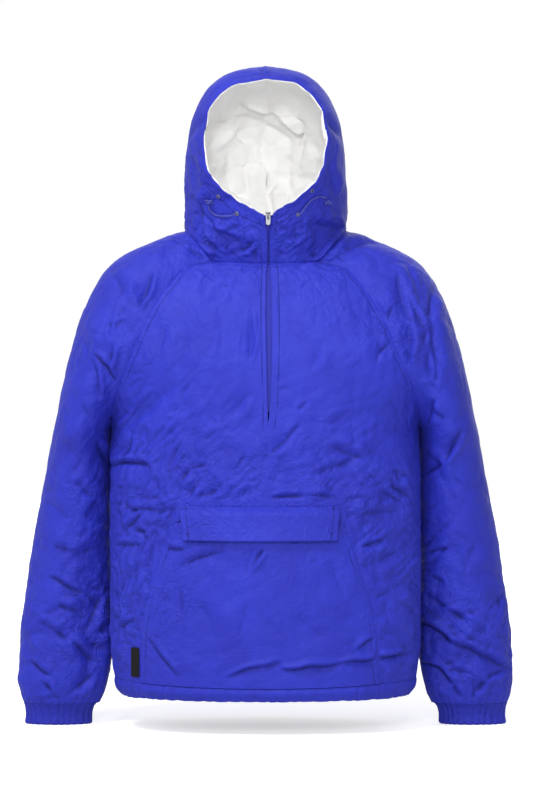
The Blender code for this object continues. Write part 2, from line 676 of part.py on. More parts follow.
def build_pull():
    """The slider's pull tab: a long ring that hangs straight down from its hinge."""
    outer = rounded_loop(PULL["width"], PULL["above"], -PULL["length"], PULL_SIDES)
    slot = rounded_loop(PULL["slot"], -PULL["above"], -PULL["slot_end"], PULL_SIDES)
    loops = []
    for (x, z), y in ((outer, -1), (outer, 1), (slot, 1), (slot, -1)):
        loops.append(np.stack([x, np.full(PULL_SIDES, y * PULL["wall"] / 2), z], axis=-1))
    steel = plain_material("zip_pull", STEEL, 0.25, 1.0)
    return add_object("zip_pull", tube_wall("zip_pull", loops), steel)


def pocket_swell(x, surface, row):
    """How far the pocket stands off the front along a body row: none at its side edges."""
    left, right = surface[row, 0, 0], surface[row, -1, 0]
    share = np.abs(2 * x - left - right) / (right - left)
    return POCKET_SLACK * POCKET_BULGE[row - POCKET_MOUTH] * (1 - np.minimum(share, 1) ** 2.2)


def build_pocket(grids, normals):
    """The kangaroo pocket and its flap, from the fronts' own points, moved out."""
    reach = PLACKET_CELLS + POCKET_CELLS
    surface, facing = (
        np.hstack([of["front_left"][:, reach:0:-1], of["front_right"][:, :reach + 1]])
        for of in (grids, normals)
    )
    rows = slice(POCKET_MOUTH, len(BODY))
    swell = [pocket_swell(surface[row, :, 0], surface, row) for row in range(len(BODY))[rows]]
    swell = np.array(swell)
    sewn = drawn_in(surface[rows], facing[rows], {"bottom": SEAM_GAP / 2})
    inner = sewn + facing[rows] * (SEAM_GAP + swell[:, :, None])
    mesh = wall_mesh("pocket_panel", inner + facing[rows] * POCKET_WALL, inner)
    add_object("pocket_panel", mesh, plain_material("pocket_panel", BLUE))
    clear = 2 * SEAM_GAP + POCKET_WALL + FLAP_CLEAR
    flap = [surface[FLAP_TOP] + facing[FLAP_TOP] * SEAM_GAP]
    for row in (POCKET_MOUTH, FLAP_END):
        fall = surface[FLAP_TOP, 0, 2] - surface[row, 0, 2]
        line = surface[FLAP_TOP] * np.array([1 - FLAP_TAPER * fall, 1.0, 1.0]) - np.array([0.0, 0.0, fall])
        away = pocket_swell(line[:, 0], surface, row) + clear
        flap.append(line + facing[FLAP_TOP] * away[:, None])
    inner = np.array(flap)
    mesh = wall_mesh("pocket_flap", inner + facing[FLAP_TOP] * FLAP_WALL, inner)
    add_object("pocket_flap", mesh, plain_material("pocket_flap", BLUE))


def laid_on(name, x, z):
    """The point on a piece's outer face that a ray from the front meets, and its normal."""
    piece = bpy.data.objects[name].data
    corners = [vertex.co for vertex in piece.vertices]
    tree = BVHTree.FromPolygons(corners, [face.vertices for face in piece.polygons])
    ahead = Vector((x * MM, -1.0, z * MM))
    spot, facing, _, _ = tree.ray_cast(ahead, Vector((0.0, 1.0, 0.0)))
    return np.array(spot) / MM, np.array(facing)


def build_label():
    """A small bare label sewn on the lower front, beside the side seam."""
    rows = []
    facings = []
    for z in np.linspace(LABEL["top"], LABEL["foot"], 4):
        across = np.linspace(LABEL["left"], LABEL["right"], 7)
        hits = [laid_on("front_left", x, z) for x in across]
        rows.append([hit[0] for hit in hits])
        facings.append([hit[1] for hit in hits])
    facing = np.mean(np.array(facings), axis=(0, 1))
    facing /= np.linalg.norm(facing)
    inner = np.array(rows) + facing * LABEL_LIFT
    mesh = wall_mesh("side_label", inner + facing * LABEL["wall"], inner)
    add_object("side_label", mesh, plain_material("side_label", BLACK))


def turned_to(facing):
    """The rotation that turns Z to the given direction."""
    return Vector(facing).to_track_quat("Z", "Y").to_matrix().to_4x4()


def build_eyelet(name, hood, x, z):
    """A pressed metal eyelet that lies on the hood's casing."""
    spot, facing = laid_on(hood, x, z)
    angle = np.linspace(0, 2 * np.pi, EYELET_SIDES, endpoint=False)
    round_x, round_y = np.cos(angle), np.sin(angle)
    loops = []
    for point in EYELET:
        lift = np.full(EYELET_SIDES, point["height"])
        loops.append(np.stack([point["radius"] * round_x, point["radius"] * round_y, lift], axis=-1))
    eyelet = add_object(name, tube_wall(name, loops), plain_material(name, STEEL, 0.3, 1.0))
    eyelet.matrix_world = Matrix.Translation(Vector(spot * MM)) @ turned_to(facing)


def build_knot(name, hood, x, z):
    """The knot at the cord's end."""
    spot, facing = laid_on(hood, x, z)
    shape = bmesh.new()
    bmesh.ops.create_icosphere(shape, subdivisions=2, radius=0.5 * MM)
    bmesh.ops.scale(shape, vec=KNOT_SIZE, verts=shape.verts)
    mesh = bpy.data.meshes.new(name)
    shape.to_mesh(mesh)
    shape.free()
    knot = add_object(name, mesh, plain_material(name, DARK_BLUE))
    centre = spot + facing * (KNOT_SIZE[2] / 2 + KNOT_CLEAR)
    knot.matrix_world = Matrix.Translation(Vector(centre * MM)) @ turned_to(facing)


def build_cord(name, hood, way):
    """One bight of the drawcord, out of its eyelet and over the hood to the knot."""
    points = []
    for step, (x, z) in enumerate(zip(way["x"], way["z"])):
        spot, facing = laid_on(hood, x, z)
        lift = CORD_DIAMETER / 2 + CORD_CLEAR
        points.append(spot + facing * (lift + CORD_RISE[min(step, len(CORD_RISE) - 1)]))
        if step == 0:
            points.insert(0, spot + facing * SEAM_GAP)
    points = smooth_line(np.array(points), CORD_STEP)
    curve = bpy.data.curves.new(name, "CURVE")
    curve.dimensions = "3D"
    curve.bevel_depth = CORD_DIAMETER / 2 * MM
    curve.bevel_resolution = 2
    curve.use_fill_caps = True
    spline = curve.splines.new("POLY")
    spline.points.add(len(points) - 1)
    for point, place in zip(spline.points, points):
        point.co = (*(place * MM), 1.0)
    add_object(name, curve, plain_material(name, DARK_BLUE))


def smooth_line(points, step):
    """Points every step along a Catmull-Rom curve through the given points."""
    padded = np.vstack([2 * points[0] - points[1], points, 2 * points[-1] - points[-2]])
    t = np.linspace(0, 1, LINE_SAMPLES, endpoint=False)[:, None]
    runs = []
    for a, b, c, d in zip(padded, padded[1:], padded[2:], padded[3:]):
        bend = (2 * a - 5 * b + 4 * c - d) * t ** 2 + (3 * b - a - 3 * c + d) * t ** 3
        runs.append(0.5 * (2 * b + (c - a) * t + bend))
    line = np.vstack(runs + [points[-1:]])
    length = np.sum(np.linalg.norm(np.diff(line, axis=0), axis=1))
    return along(line, np.linspace(0, 1, int(round(length / step)) + 1))


def build_hood_trim():
    """Eyelets, drawcord bights and knots on both sides of the face opening."""
    for fitting, way in zip(FITTINGS, (CORD_LEFT, CORD_RIGHT)):
        word = "right" if fitting["side"] > 0 else "left"
        hood = "hood_" + word
        build_eyelet("eyelet_lower_" + word, hood, fitting["eyelet_x"], fitting["eyelet_z"])
        build_eyelet("eyelet_upper_" + word, hood, fitting["upper_x"], fitting["upper_z"])
        build_knot("cord_knot_" + word, hood, fitting["knot_x"], fitting["knot_z"])
        build_cord("drawcord_" + word, hood, way)


def main():
    """Build the garment: shell first, then what is sewn and fixed on it."""
    clear_scene()
    grids, normals = build_shell()
    build_zip(grids, normals)
    build_pocket(grids, normals)
    build_label()
    build_hood_trim()


main()
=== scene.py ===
"""Hooded half-zip anorak pullover of lightly padded blue nylon, filled out as if worn.

Lengths are millimetres until a mesh is made. X runs across the garment, the front
faces -Y and Z is up.
"""

import bpy
import numpy as np
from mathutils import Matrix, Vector


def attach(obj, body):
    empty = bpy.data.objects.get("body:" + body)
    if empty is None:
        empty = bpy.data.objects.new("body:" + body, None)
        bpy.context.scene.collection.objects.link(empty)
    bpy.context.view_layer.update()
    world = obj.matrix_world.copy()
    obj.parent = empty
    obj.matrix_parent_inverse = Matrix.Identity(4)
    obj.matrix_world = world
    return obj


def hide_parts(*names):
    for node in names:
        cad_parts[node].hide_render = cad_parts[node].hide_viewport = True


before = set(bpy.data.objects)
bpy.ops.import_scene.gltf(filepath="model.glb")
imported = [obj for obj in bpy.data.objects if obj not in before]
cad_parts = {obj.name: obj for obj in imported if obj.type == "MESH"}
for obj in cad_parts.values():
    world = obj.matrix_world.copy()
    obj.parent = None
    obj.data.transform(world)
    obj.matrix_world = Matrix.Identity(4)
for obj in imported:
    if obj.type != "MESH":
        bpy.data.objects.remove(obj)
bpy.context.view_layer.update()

MM = 0.001                    # a millimetre in metres

# ---------------------------------------------------------------- studio
# A plain white floor under the garment, soft light from the upper left in front, an even
# white surround, and a camera level with the chest.
FLOOR_Z = -753.0
FLOOR_REACH = 9000.0          # from the middle of the floor to its sides
# The floor's own light, between two distances in metres from its middle.
FLOOR_GLOW = {"From Min": 0.9, "From Max": 2.6, "To Min": 0.46, "To Max": 0.74}
AMBIENT = 0.64                # the surround's light on the garment
VIEW_DISTANCE = 4000.0
VIEW_X = 1.5
VIEW_Z = -248.0
FRAME_HEIGHT = 1240.0         # what the camera sees from top to bottom at Y = 0
SENSOR = 36.0


def linear(colour):
    """An sRGB hex colour as linear red, green, blue and alpha."""
    parts = [int(colour[i:i + 2], 16) / 255 for i in (1, 3, 5)]
    return (*(c / 12.92 if c < 0.04045 else ((c + 0.055) / 1.055) ** 2.4 for c in parts), 1.0)


def add(tree, kind, links=(), **settings):
    """A shader node with its settings; links give its inputs numbers or other nodes' outputs."""
    node = tree.nodes.new("ShaderNode" + kind)
    for name, value in settings.items():
        setattr(node, name, value)
    for name, value in dict(links).items():
        if isinstance(value, bpy.types.NodeSocket):
            tree.links.new(value, node.inputs[name])
        else:
            node.inputs[name].default_value = value
    return node


SOCKETS = {"specular_ior_level": "Specular IOR Level"}


def new_material(name, **shader):
    """A material with its Principled shader's own sockets set, and the tree to add to."""
    material = bpy.data.materials.new(name)
    material.use_nodes = True
    surface = material.node_tree.nodes["Principled BSDF"]
    for socket, value in shader.items():
        surface.inputs[SOCKETS.get(socket, socket.replace("_", " ").title())].default_value = value
    return material, material.node_tree, surface


def placed(name, data):
    """An object in the scene for a mesh, a lamp or a camera."""
    thing = bpy.data.objects.new(name, data)
    bpy.context.scene.collection.objects.link(thing)
    return thing


def turned(direction):
    """The rotation that points a lamp or camera along a direction."""
    return Vector(direction).to_track_quat("-Z", "Y").to_euler()


WHITE = linear("#ffffff")
floor_paint, tree, surface = new_material("white_floor_paint", base_color=linear("#e6e6e6"), roughness=0.9,
                                          emission_color=WHITE)
place = add(tree, "TexCoord").outputs["Object"]
far = add(tree, "VectorMath", {0: place}, operation="LENGTH").outputs["Value"]
even = add(tree, "MapRange", {"Value": far, **FLOOR_GLOW}).outputs[0]
seen = add(tree, "LightPath").outputs["Is Camera Ray"]
glow = add(tree, "Math", {0: seen, 1: even}, operation="MULTIPLY").outputs[0]
tree.links.new(glow, surface.inputs["Emission Strength"])
floor = bpy.data.meshes.new("studio_floor")
ways = ((-1, -1), (1, -1), (1, 1), (-1, 1))
floor.from_pydata([(x * FLOOR_REACH * MM, y * FLOOR_REACH * MM, FLOOR_Z * MM) for x, y in ways],
                  [], [(0, 1, 2, 3)])
floor.materials.append(floor_paint)
placed("studio_floor", floor)

LAMPS = [
    # name, kind, direction it shines in, place in metres, strength, size in metres or radians
    ("key", "AREA", (0.36, 0.46, -0.78), (-1.45, -2.1, 3.2), 154.0, 1.3),
    ("fill", "AREA", (0.35, 2.4, -0.50), (-0.05, -2.45, 0.55), 33.0, 0.8),
    ("back_light", "SUN", (-0.15, -0.95, -0.30), (0.0, 0.0, 2.0), 0.9, np.radians(40.0)),
]
for name, kind, direction, place, strength, softness in LAMPS:
    lamp = bpy.data.lights.new(name, kind)
    lamp.energy = strength
    setattr(lamp, "angle" if kind == "SUN" else "size", softness)
    lamp = placed(name, lamp)
    lamp.location = place
    lamp.visible_camera = False
    lamp.rotation_euler = turned(direction)

world = bpy.data.worlds.new("white_surround")
world.use_nodes = True
tree = world.node_tree
ambient = tree.nodes["Background"]
ambient.inputs["Color"].default_value = WHITE
ambient.inputs["Strength"].default_value = AMBIENT
seen = add(tree, "Background", {"Color": WHITE, "Strength": 1.0})
pick = add(tree, "MixShader", {0: add(tree, "LightPath").outputs["Is Camera Ray"],
                               1: ambient.outputs[0], 2: seen.outputs[0]})
tree.links.new(pick.outputs[0], tree.nodes["World Output"].inputs["Surface"])
bpy.context.scene.world = world
bpy.context.scene.view_settings.view_transform = "Standard"

camera = bpy.data.cameras.new("camera")
camera.sensor_width = SENSOR
camera.lens = SENSOR * VIEW_DISTANCE / FRAME_HEIGHT
camera = placed("camera", camera)
camera.location = (VIEW_X * MM, -VIEW_DISTANCE * MM, VIEW_Z * MM)
camera.rotation_euler = turned((0.0, 1.0, 0.0))
bpy.context.scene.camera = camera

# ---------------------------------------------------------------- fronts and back
# Raglan front halves and a one-piece back of thin nylon taffeta, lightly padded and sewn
# with double topstitched seams. The cloth puckers along the seams and creases in use.
WALL = 2.4
SEAM_GAP = 0.3                # between two pieces at their seam
FIRST_STEP = 0.35             # share of the cloth grid's step that it has at its borders
SIDES = {"left": -1, "right": 1}
OTHER_SIDE = np.array([-1.0, 1.0, 1.0])
MIRROR = {"left": OTHER_SIDE, "right": np.ones(3)}   # turns what is worked out at +X to a side


def table(names, rows):
    """A table as a dictionary: each name with its column of numbers."""
    return dict(zip(names.split(), np.array(rows, float).T))


# Sleeve sections from the neck seam down to the cuff: the outermost point, the front and back
# edges, the middle's Y, how deep the section is in front and behind, and how far it turns.
SLEEVE = table(
    "outer_x outer_z front_x front_z back_x back_z centre_y front_depth back_depth turn",
    [
        (125, 14, 82, -38, 70, 30, 5, 76, 82, 90),
        (161, 2.5, 118, -46, 105, 10, 8, 86, 97, 90),
        (205, -15.5, 152.6, -84, 143, -50, 10, 110, 115, 90),
        (245.5, -43.5, 178, -125, 172, -105, 12, 124, 119, 90),
        (277.5, -98, 205, -188, 203, -175, 14, 130, 118, 105),
        (300, -163, 223.5, -231, 223.5, -225, 16, 117, 110, 120),
        (315, -225, 234.4, -266, 234.4, -264, 18, 107, 102, 143),
        (323, -263, 238.5, -288, 238.5, -288, 19.5, 100, 100, 162),
        (329.5, -294, 240.5, -300, 240.5, -300, 20, 96, 96, 180),
        (336.5, -327, 239.8, -332, 239.8, -332, 33, 92, 92, 180),
        (349, -393, 238, -400, 238, -400, 40, 85, 85, 180),
        (361.8, -455, 238.5, -460, 238.5, -460, 43, 78, 78, 180),
        (371, -515, 240.5, -518, 240.5, -518, 45, 70, 70, 180),
        (379, -572, 243, -573, 243, -573, 45, 63, 63, 180),
        (384, -612, 246, -612, 246, -612, 43, 58, 58, 180),
        (386, -650, 249, -650, 249, -650, 40, 53, 53, 180),
        (386, -680, 251.5, -680, 251.5, -680, 37, 47, 47, 180),
        (383.5, -703, 256, -703, 256, -703, 34, 39, 39, 180),
        (378, -718, 262, -718, 262, -718, 32, 30, 30, 180),
    ],
)
UNDERARM = 8                  # the sleeve section where the raglan seams meet

# Body rows from the neck seam down to the hem: the chest line, the angle and fullness that a
# row comes to its side end with, the same behind, the side end below the underarm, and on
# the front the pocket's side edges, the zip's middle and half the gap between its lips.
BODY = table(
    "chest_z chest_y front_lie front_full spine_z spine_y back_lie back_full "
    "half_width side_y side_z pocket_left pocket_right centre_x zip_gap",
    [
        (-41, -95, 33, 0.31, 35, 105, 33, 0.31, 0, 0, 0, 50, 50, 4.4, 2.4),
        (-55, -104, 25, 0.31, 22, 113, 22, 0.31, 0, 0, 0, 72, 72, 4.6, 3.6),
        (-95, -120, 20, 0.31, -30, 127, 14, 0.31, 0, 0, 0, 92, 92, 5, 4.9),
        (-134, -131, 20, 0.31, -90, 136, 14, 0.31, 0, 0, 0, 105, 105, 5.2, 5.2),
        (-192, -139, 30, 0.31, -165, 141, 22, 0.31, 0, 0, 0, 116, 113, 5.4, 4.2),
        (-233, -141, 45, 0.31, -215, 141, 38, 0.31, 0, 0, 0, 122, 114, 5.2, 3.1),
        (-267, -142, 62, 0.33, -255, 139, 58, 0.31, 0, 0, 0, 125, 113, 4.6, 1.4),
        (-289, -142.5, 78, 0.38, -280, 138, 76, 0.32, 0, 0, 0, 126.5, 112, 3, 0),
        (-303, -143, 90, 0.43, -300, 137, 90, 0.33, 0, 0, 0, 127, 111, 2, 0),
        (-332, -143.5, 90, 0.37, -332, 135.5, 90, 0.34, 239.5, 2, -332, 127, 110, 0, 0),
        (-370, -144, 90, 0.33, -370, 133.5, 90, 0.33, 240, -9, -370, 127, 109, -1, 0),
        (-407.5, -144, 90, 0.31, -407.5, 132, 90, 0.32, 240, -14, -407.5, 127, 110, -2, 0),
        (-433, -144, 90, 0.31, -433, 131, 90, 0.31, 240, -15, -433, 137, 117, -2, 0),
        (-457, -144, 90, 0.31, -457, 131, 90, 0.31, 240, -15, -457, 146, 125, -2, 0),
        (-510, -144, 90, 0.31, -510, 131, 90, 0.31, 240, -15, -508, 165, 142.5, -2, 0),
        (-560, -143.5, 90, 0.31, -560, 131, 90, 0.31, 240, -15, -557, 178.5, 157, -2, 0),
        (-610, -143, 90, 0.31, -610, 131, 90, 0.31, 239.5, -15, -606, 186, 165.5, -2, 0),
        (-646, -142, 90, 0.31, -646, 130, 90, 0.31, 237.5, -15, -641, 187, 167, -2, 0),
        (-679, -140, 90, 0.31, -679, 128, 90, 0.31, 233, -15, -672, 188, 171, -2, 0),
    ],
)
ROWS = len(BODY["chest_z"]) - 1
BODY_STRAIGHT = 0.56          # share of a row's half width that it heads straight across
LINE_POINTS = 161             # points that a body row is worked out at
MIRRORED_POINTS = 12          # of them, how many are carried past the middle
GRID_ROWS = 322
FRONT_COLUMNS = 146
BACK_HALF = 114               # columns of half the back
DENSE = 1501                  # rows that running lengths are worked out on


def between(values, places):
    """Values at fractional rows, on cubics whose slope at a row is the harmonic mean of the
    two steps beside it, or nought where the steps turn.
    """
    steps = np.diff(values)
    before, after = steps[:-1], steps[1:]
    same = before * after > 0
    middle = np.where(same, 2 * before * after / np.where(same, before + after, 1.0), 0.0)
    slopes = np.concatenate([steps[:1], middle, steps[-1:]])
    row = np.clip(np.floor(places).astype(int), 0, len(values) - 2)
    t = places - row
    start = (1 + 2 * t) * (1 - t) ** 2 * values[row] + t * (1 - t) ** 2 * slopes[row]
    return start + t ** 2 * (3 - 2 * t) * values[row + 1] - t ** 2 * (1 - t) * slopes[row + 1]


def sleeve_arc(places, steps):
    """Sleeve sections at fractional places, for steps from -1, the front edge, to 1, the back.

    The angle is |step| times turn, x and z run from the outer point to the edge point by
    (1 - cos angle) / (1 - cos turn), and y is the centre plus the depth times sin angle.
    """
    row = {name: between(column, places)[:, None] for name, column in SLEEVE.items()}
    turn = np.radians(row["turn"])
    angle = np.abs(steps) * turn
    reach = (1 - np.cos(angle)) / (1 - np.cos(turn))
    ahead = steps < 0
    end_x = np.where(ahead, row["front_x"], row["back_x"])
    end_z = np.where(ahead, row["front_z"], row["back_z"])
    depth = np.where(ahead, -row["front_depth"], row["back_depth"])
    x = row["outer_x"] + (end_x - row["outer_x"]) * reach
    z = row["outer_z"] + (end_z - row["outer_z"]) * reach
    return np.stack([x, row["centre_y"] + depth * np.sin(angle), z], axis=-1)


def side_end(places, edge):
    """Where body rows end: on the raglan seam, and on the side seam below the underarm."""
    arm = sleeve_arc(np.minimum(places, UNDERARM), np.array([edge]))[:, 0]
    corner = sleeve_arc(np.array([float(UNDERARM)]), np.array([edge]))[0, 0]
    below = np.maximum(places - UNDERARM, 0.0)
    side = [
        between(np.append(start, BODY[name][UNDERARM + 1:]), below)
        for start, name in zip(corner, ("half_width", "side_y", "side_z"))
    ]
    return np.where(places[:, None] <= UNDERARM, arm, np.stack(side, axis=-1))


def bezier(controls, t):
    """Cubic Bezier curves through four rows of control points, at all t."""
    a, b, c, d = (point[:, None, :] for point in controls)
    t = t[None, :, None]
    return (1 - t) ** 3 * a + 3 * (1 - t) ** 2 * t * b + 3 * (1 - t) * t ** 2 * c + t ** 3 * d


def body_lines(places, edge):
    """Body rows on the +X side, from a little past the middle out to their side ends."""
    row = {name: between(column, places) for name, column in BODY.items()}
    middle, side = ("chest", "front") if edge < 0 else ("spine", "back")
    lie = np.radians(row[side + "_lie"])
    zero = np.zeros_like(lie)
    start = np.stack([zero, row[middle + "_y"], row[middle + "_z"]], axis=-1)
    end = side_end(places, edge)
    span = np.linalg.norm(end - start, axis=1)
    out = start + BODY_STRAIGHT * end * np.array([1.0, 0.0, 0.0])
    back = np.stack([-np.cos(lie), edge * np.sin(lie), zero], axis=-1)
    home = end + (row[side + "_full"] * span)[:, None] * back
    line = bezier((start, out, home, end), np.linspace(0, 1, LINE_POINTS))
    past = line[:, MIRRORED_POINTS:0:-1] * OTHER_SIDE
    return np.concatenate([past, line], axis=1)


def lengths(points, axis=1):
    """Running length along an axis of a grid of points."""
    steps = np.linalg.norm(np.diff(points, axis=axis), axis=-1)
    first = np.zeros_like(np.take(steps, [0], axis=axis))
    return np.concatenate([first, np.cumsum(steps, axis=axis)], axis=axis)


def at(places, run, points):
    """Points of a line at places along it, its own points being at the places run."""
    return np.stack([np.interp(places, run, column) for column in points.T], axis=-1)


def fine_ends(count, first=FIRST_STEP):
    """Fractions from 0 to 1 whose steps shrink to a share at both ends, by a Gaussian, so that
    what is sewn along a border is finely modelled.
    """
    place = np.arange(count - 1)
    shrink = np.exp(-(place / 2.5) ** 2) + np.exp(-((count - 2 - place) / 2.5) ** 2)
    steps = 1 - (1 - first) * shrink
    return np.append(0.0, np.cumsum(steps)) / np.sum(steps)


def spread(lines, begin, ways):
    """Each line resampled at fractions of its length, from where its x is begin to its end."""
    run = lengths(lines)
    near = LINE_POINTS // 2
    made = []
    for line, far, x in zip(lines, run, begin):
        start = np.interp(x, line[:near, 0], far[:near])
        made.append(at(start + (far[-1] - start) * ways, far, line))
    return np.array(made)


def even_places(lines, count):
    """Fractional rows at about equal distances, from lines of points at dense rows."""
    dense = np.linspace(0, ROWS, len(lines[0]))
    run = sum(lengths(line[None])[0] for line in lines)
    return np.interp(fine_ends(count) * run[-1], run, dense)


dense_rows = np.linspace(0, ROWS, DENSE)
chest_line = np.stack([between(BODY[name], dense_rows) for name in ("chest_y", "chest_z")], axis=-1)
BODY_PLACES = even_places([chest_line, side_end(dense_rows, -1)], GRID_ROWS)


def front_grid(side):
    """A front half on the +X side, from its zip edge out to the raglan and side seams."""
    edge = side * between(BODY["centre_x"], BODY_PLACES) + between(BODY["zip_gap"], BODY_PLACES)
    return spread(body_lines(BODY_PLACES, -1), edge, fine_ends(FRONT_COLUMNS))


def back_grid():
    """The back, from the +X side's seams over the spine to the other side's."""
    ways = 2 * fine_ends(2 * BACK_HALF - 1)[BACK_HALF - 1:] - 1
    half = spread(body_lines(BODY_PLACES, 1), np.zeros(len(BODY_PLACES)), ways)[:, ::-1]
    return np.concatenate([half, half[:, -2::-1] * OTHER_SIDE], axis=1)


def unit(ways):
    """Directions with the length 1."""
    return ways / np.maximum(np.linalg.norm(ways, axis=-1, keepdims=True), 1e-9)


def facing(grid, middle):
    """Unit normals of a grid of points, the cross product of its two steps, turned away
    from the middle.
    """
    normals = unit(np.cross(*np.gradient(grid, axis=(0, 1))))
    return normals if np.sum(normals * (grid - middle)) > 0 else -normals


NOISE_CELLS = 32              # corners of the noise's lattice each way, before it repeats
# A turn about a slanting axis, so that the noise's lattice isn't level with the garment.
SLANT = np.array([[0.80, -0.48, 0.36], [0.60, 0.64, -0.48], [0.0, 0.60, 0.80]])


def noise(points, size, seed):
    """Gradient noise. Each corner of a lattice holds a random direction, its share is that
    direction's product with the way to the point, and shares blend by 6t^5 - 15t^4 + 10t^3.
    """
    ways = unit(np.random.default_rng(seed).normal(size=(NOISE_CELLS, NOISE_CELLS, NOISE_CELLS, 3)))
    place = points @ SLANT / size
    corner = np.floor(place).astype(int)
    t = place - corner
    fade = t ** 3 * (t * (6 * t - 15) + 10)
    total = np.zeros(len(points))
    for step in np.ndindex(2, 2, 2):
        cell = (corner + step) % NOISE_CELLS
        share = np.sum(ways[cell[:, 0], cell[:, 1], cell[:, 2]] * (t - step), axis=1)
        blend = np.where(np.array(step), fade, 1 - fade)
        total += share * blend[:, 0] * blend[:, 1] * blend[:, 2]
    return total


def smooth(value, low, high):
    """0 below low and 1 above high, by 3t^2 - 2t^3 between them."""
    t = np.clip((value - low) / (high - low), 0, 1)
    return t * t * (3 - 2 * t)


# Folds of the whole garment's front, seen from the front: start x and z, end x and z, bow,
# depth, width and the height of the ridge beside it. First the body's, then the left
# sleeve's, the right sleeve's and the hood's.
BODY_FOLDS = [
    (-136, -259, -153, -274, 1, 1.6, 3.5, 1), (-139, -223, -208, -291, -3, 3.4, 13, 1.5),
    (-23, -236, -68, -283, 2, 1.8, 7, 0.8), (-119, -223, -132, -253, 0, 0.8, 4, 0.5),
    (-22, -104, -24, -181, 1, 1.3, 4, 0.6), (-15, -143, -25, -189, 0, 0.9, 3.5, 0.5),
    (-57, -70, -89, -98, 0, 0.8, 5, 0.5), (-187, -174, -193, -191, 0, 1.4, 3.5, 0.8),
    (-88, -270, -72, -291, 0, 0.9, 4, 0.6), (-181, -281, -191, -295, 0, 1.6, 3.5, 0.8),
    (-153, -132, -167, -174, 1, 0.9, 6, 0.5), (-114, -140, -139, -205, 3, 0.9, 10, 0.4),
    (-206, -308, -226, -340, 1, 2.2, 3.8, 1.2), (-189, -315, -206, -332, -1, 1.7, 3.5, 1),
    (-241, -349, -177, -350, 5, 2.6, 4.2, 1.6), (-89, -350, -117, -355, -1, 1.9, 3.5, 1),
    (-117, -355, -132, -372, 0, 1.9, 3.5, 1), (-111, -381, -123, -406, 0, 2.2, 3.8, 1.2),
    (-123, -406, -143, -441, 1, 2.8, 4.5, 1.6), (-54, -369, -100, -406, -2, 1.8, 6, 0.8),
    (-238, -379, -218, -386, 0, 1.5, 3.5, 0.8), (-218, -455, -189, -421, 1, 2.2, 4, 1.2),
    (-206, -450, -181, -450, -1, 1.6, 3.5, 1), (-146, -450, -157, -455, 0, 1.7, 3.5, 1),
    (-235, -475, -192, -474, 1, 1.1, 3.5, 1), (-166, -508, -149, -532, 1, 2, 3.8, 1.2),
    (-198, -394, -213, -406, 0, 1.4, 3.5, 0.8), (-179, -369, -195, -394, -1, 1.4, 4, 0.8),
    (-164, -356, -179, -381, 0, 1.2, 4, 0.7), (-232, -604, -198, -584, 1, 1.4, 4, 0.9),
    (-226, -620, -195, -639, 0, 1.4, 4, 0.8), (168, -648, 226, -640, -1, 2, 3.8, 1.6),
    (-222, -654, -198, -670, 1, 1.4, 4, 0.8), (-238, -542, -226, -564, 0, 1.4, 4, 0.8),
    (-210, -519, -185, -496, 1, 1.2, 6, 0.6), (-94, -310, -67, -291, 0, 1.2, 5, 0.6),
    (-46, -356, -30, -329, 0, 1.2, 4, 0.6), (-151, -411, -179, -436, 1, 1.4, 4, 0.8),
    (187, -123, 199, -102, 0, 1.6, 3.5, 1), (195, -159, 174, -191, -3, 1.9, 4, 1),
    (125, -104, 117, -130, 0, 1.2, 5, 0.6), (17, -234, 34, -228, 0, 1.2, 3.5, 0.7),
    (50, -268, 64, -251, 0, 1.5, 3.8, 0.8), (34, -308, 55, -285, 1, 1.5, 4, 0.8),
    (162, -295, 178, -285, 0, 1.2, 4, 0.8), (101, -318, 157, -341, -2, 2.3, 8, 1.2),
    (39, -300, 7, -335, 2, 2.2, 5, 1), (80, -363, 140, -342, 1, 1, 5, 0.8),
    (3, -406, 63, -395, 2, 1.8, 4, 1), (63, -395, 115, -404, 2, 1.6, 4, 1),
    (193, -375, 226, -401, 1, 1.9, 3.8, 1.2), (182, -386, 215, -406, -1, 1.5, 3.8, 0.9),
    (140, -431, 211, -419, 3, 1.5, 5, 0.9), (142, -440, 168, -437, 0, 1.2, 4, 0.8),
    (151, -478, 184, -463, 2, 2.1, 3.8, 1.2), (175, -502, 211, -484, 2, 1.9, 7, 0.8),
    (226, -529, 241, -541, 0, 1.6, 4, 1), (115, -349, 146, -336, 0, 1.2, 4, 0.7),
    (199, -356, 227, -369, 1, 1.2, 4, 0.8), (205, -558, 233, -577, 1, 1.4, 6, 0.7),
    (165, -558, 196, -542, -1, 1.1, 6, 0.6), (146, -384, 165, -369, 0, 1.2, 4, 0.7),
    (202, -465, 224, -446, 0, 1.2, 5, 0.7), (100, -287, 134, -264, 2, 1, 7, 0.5),
    (88, -155, 69, -205, 2, 0.9, 8, 0.4),
]
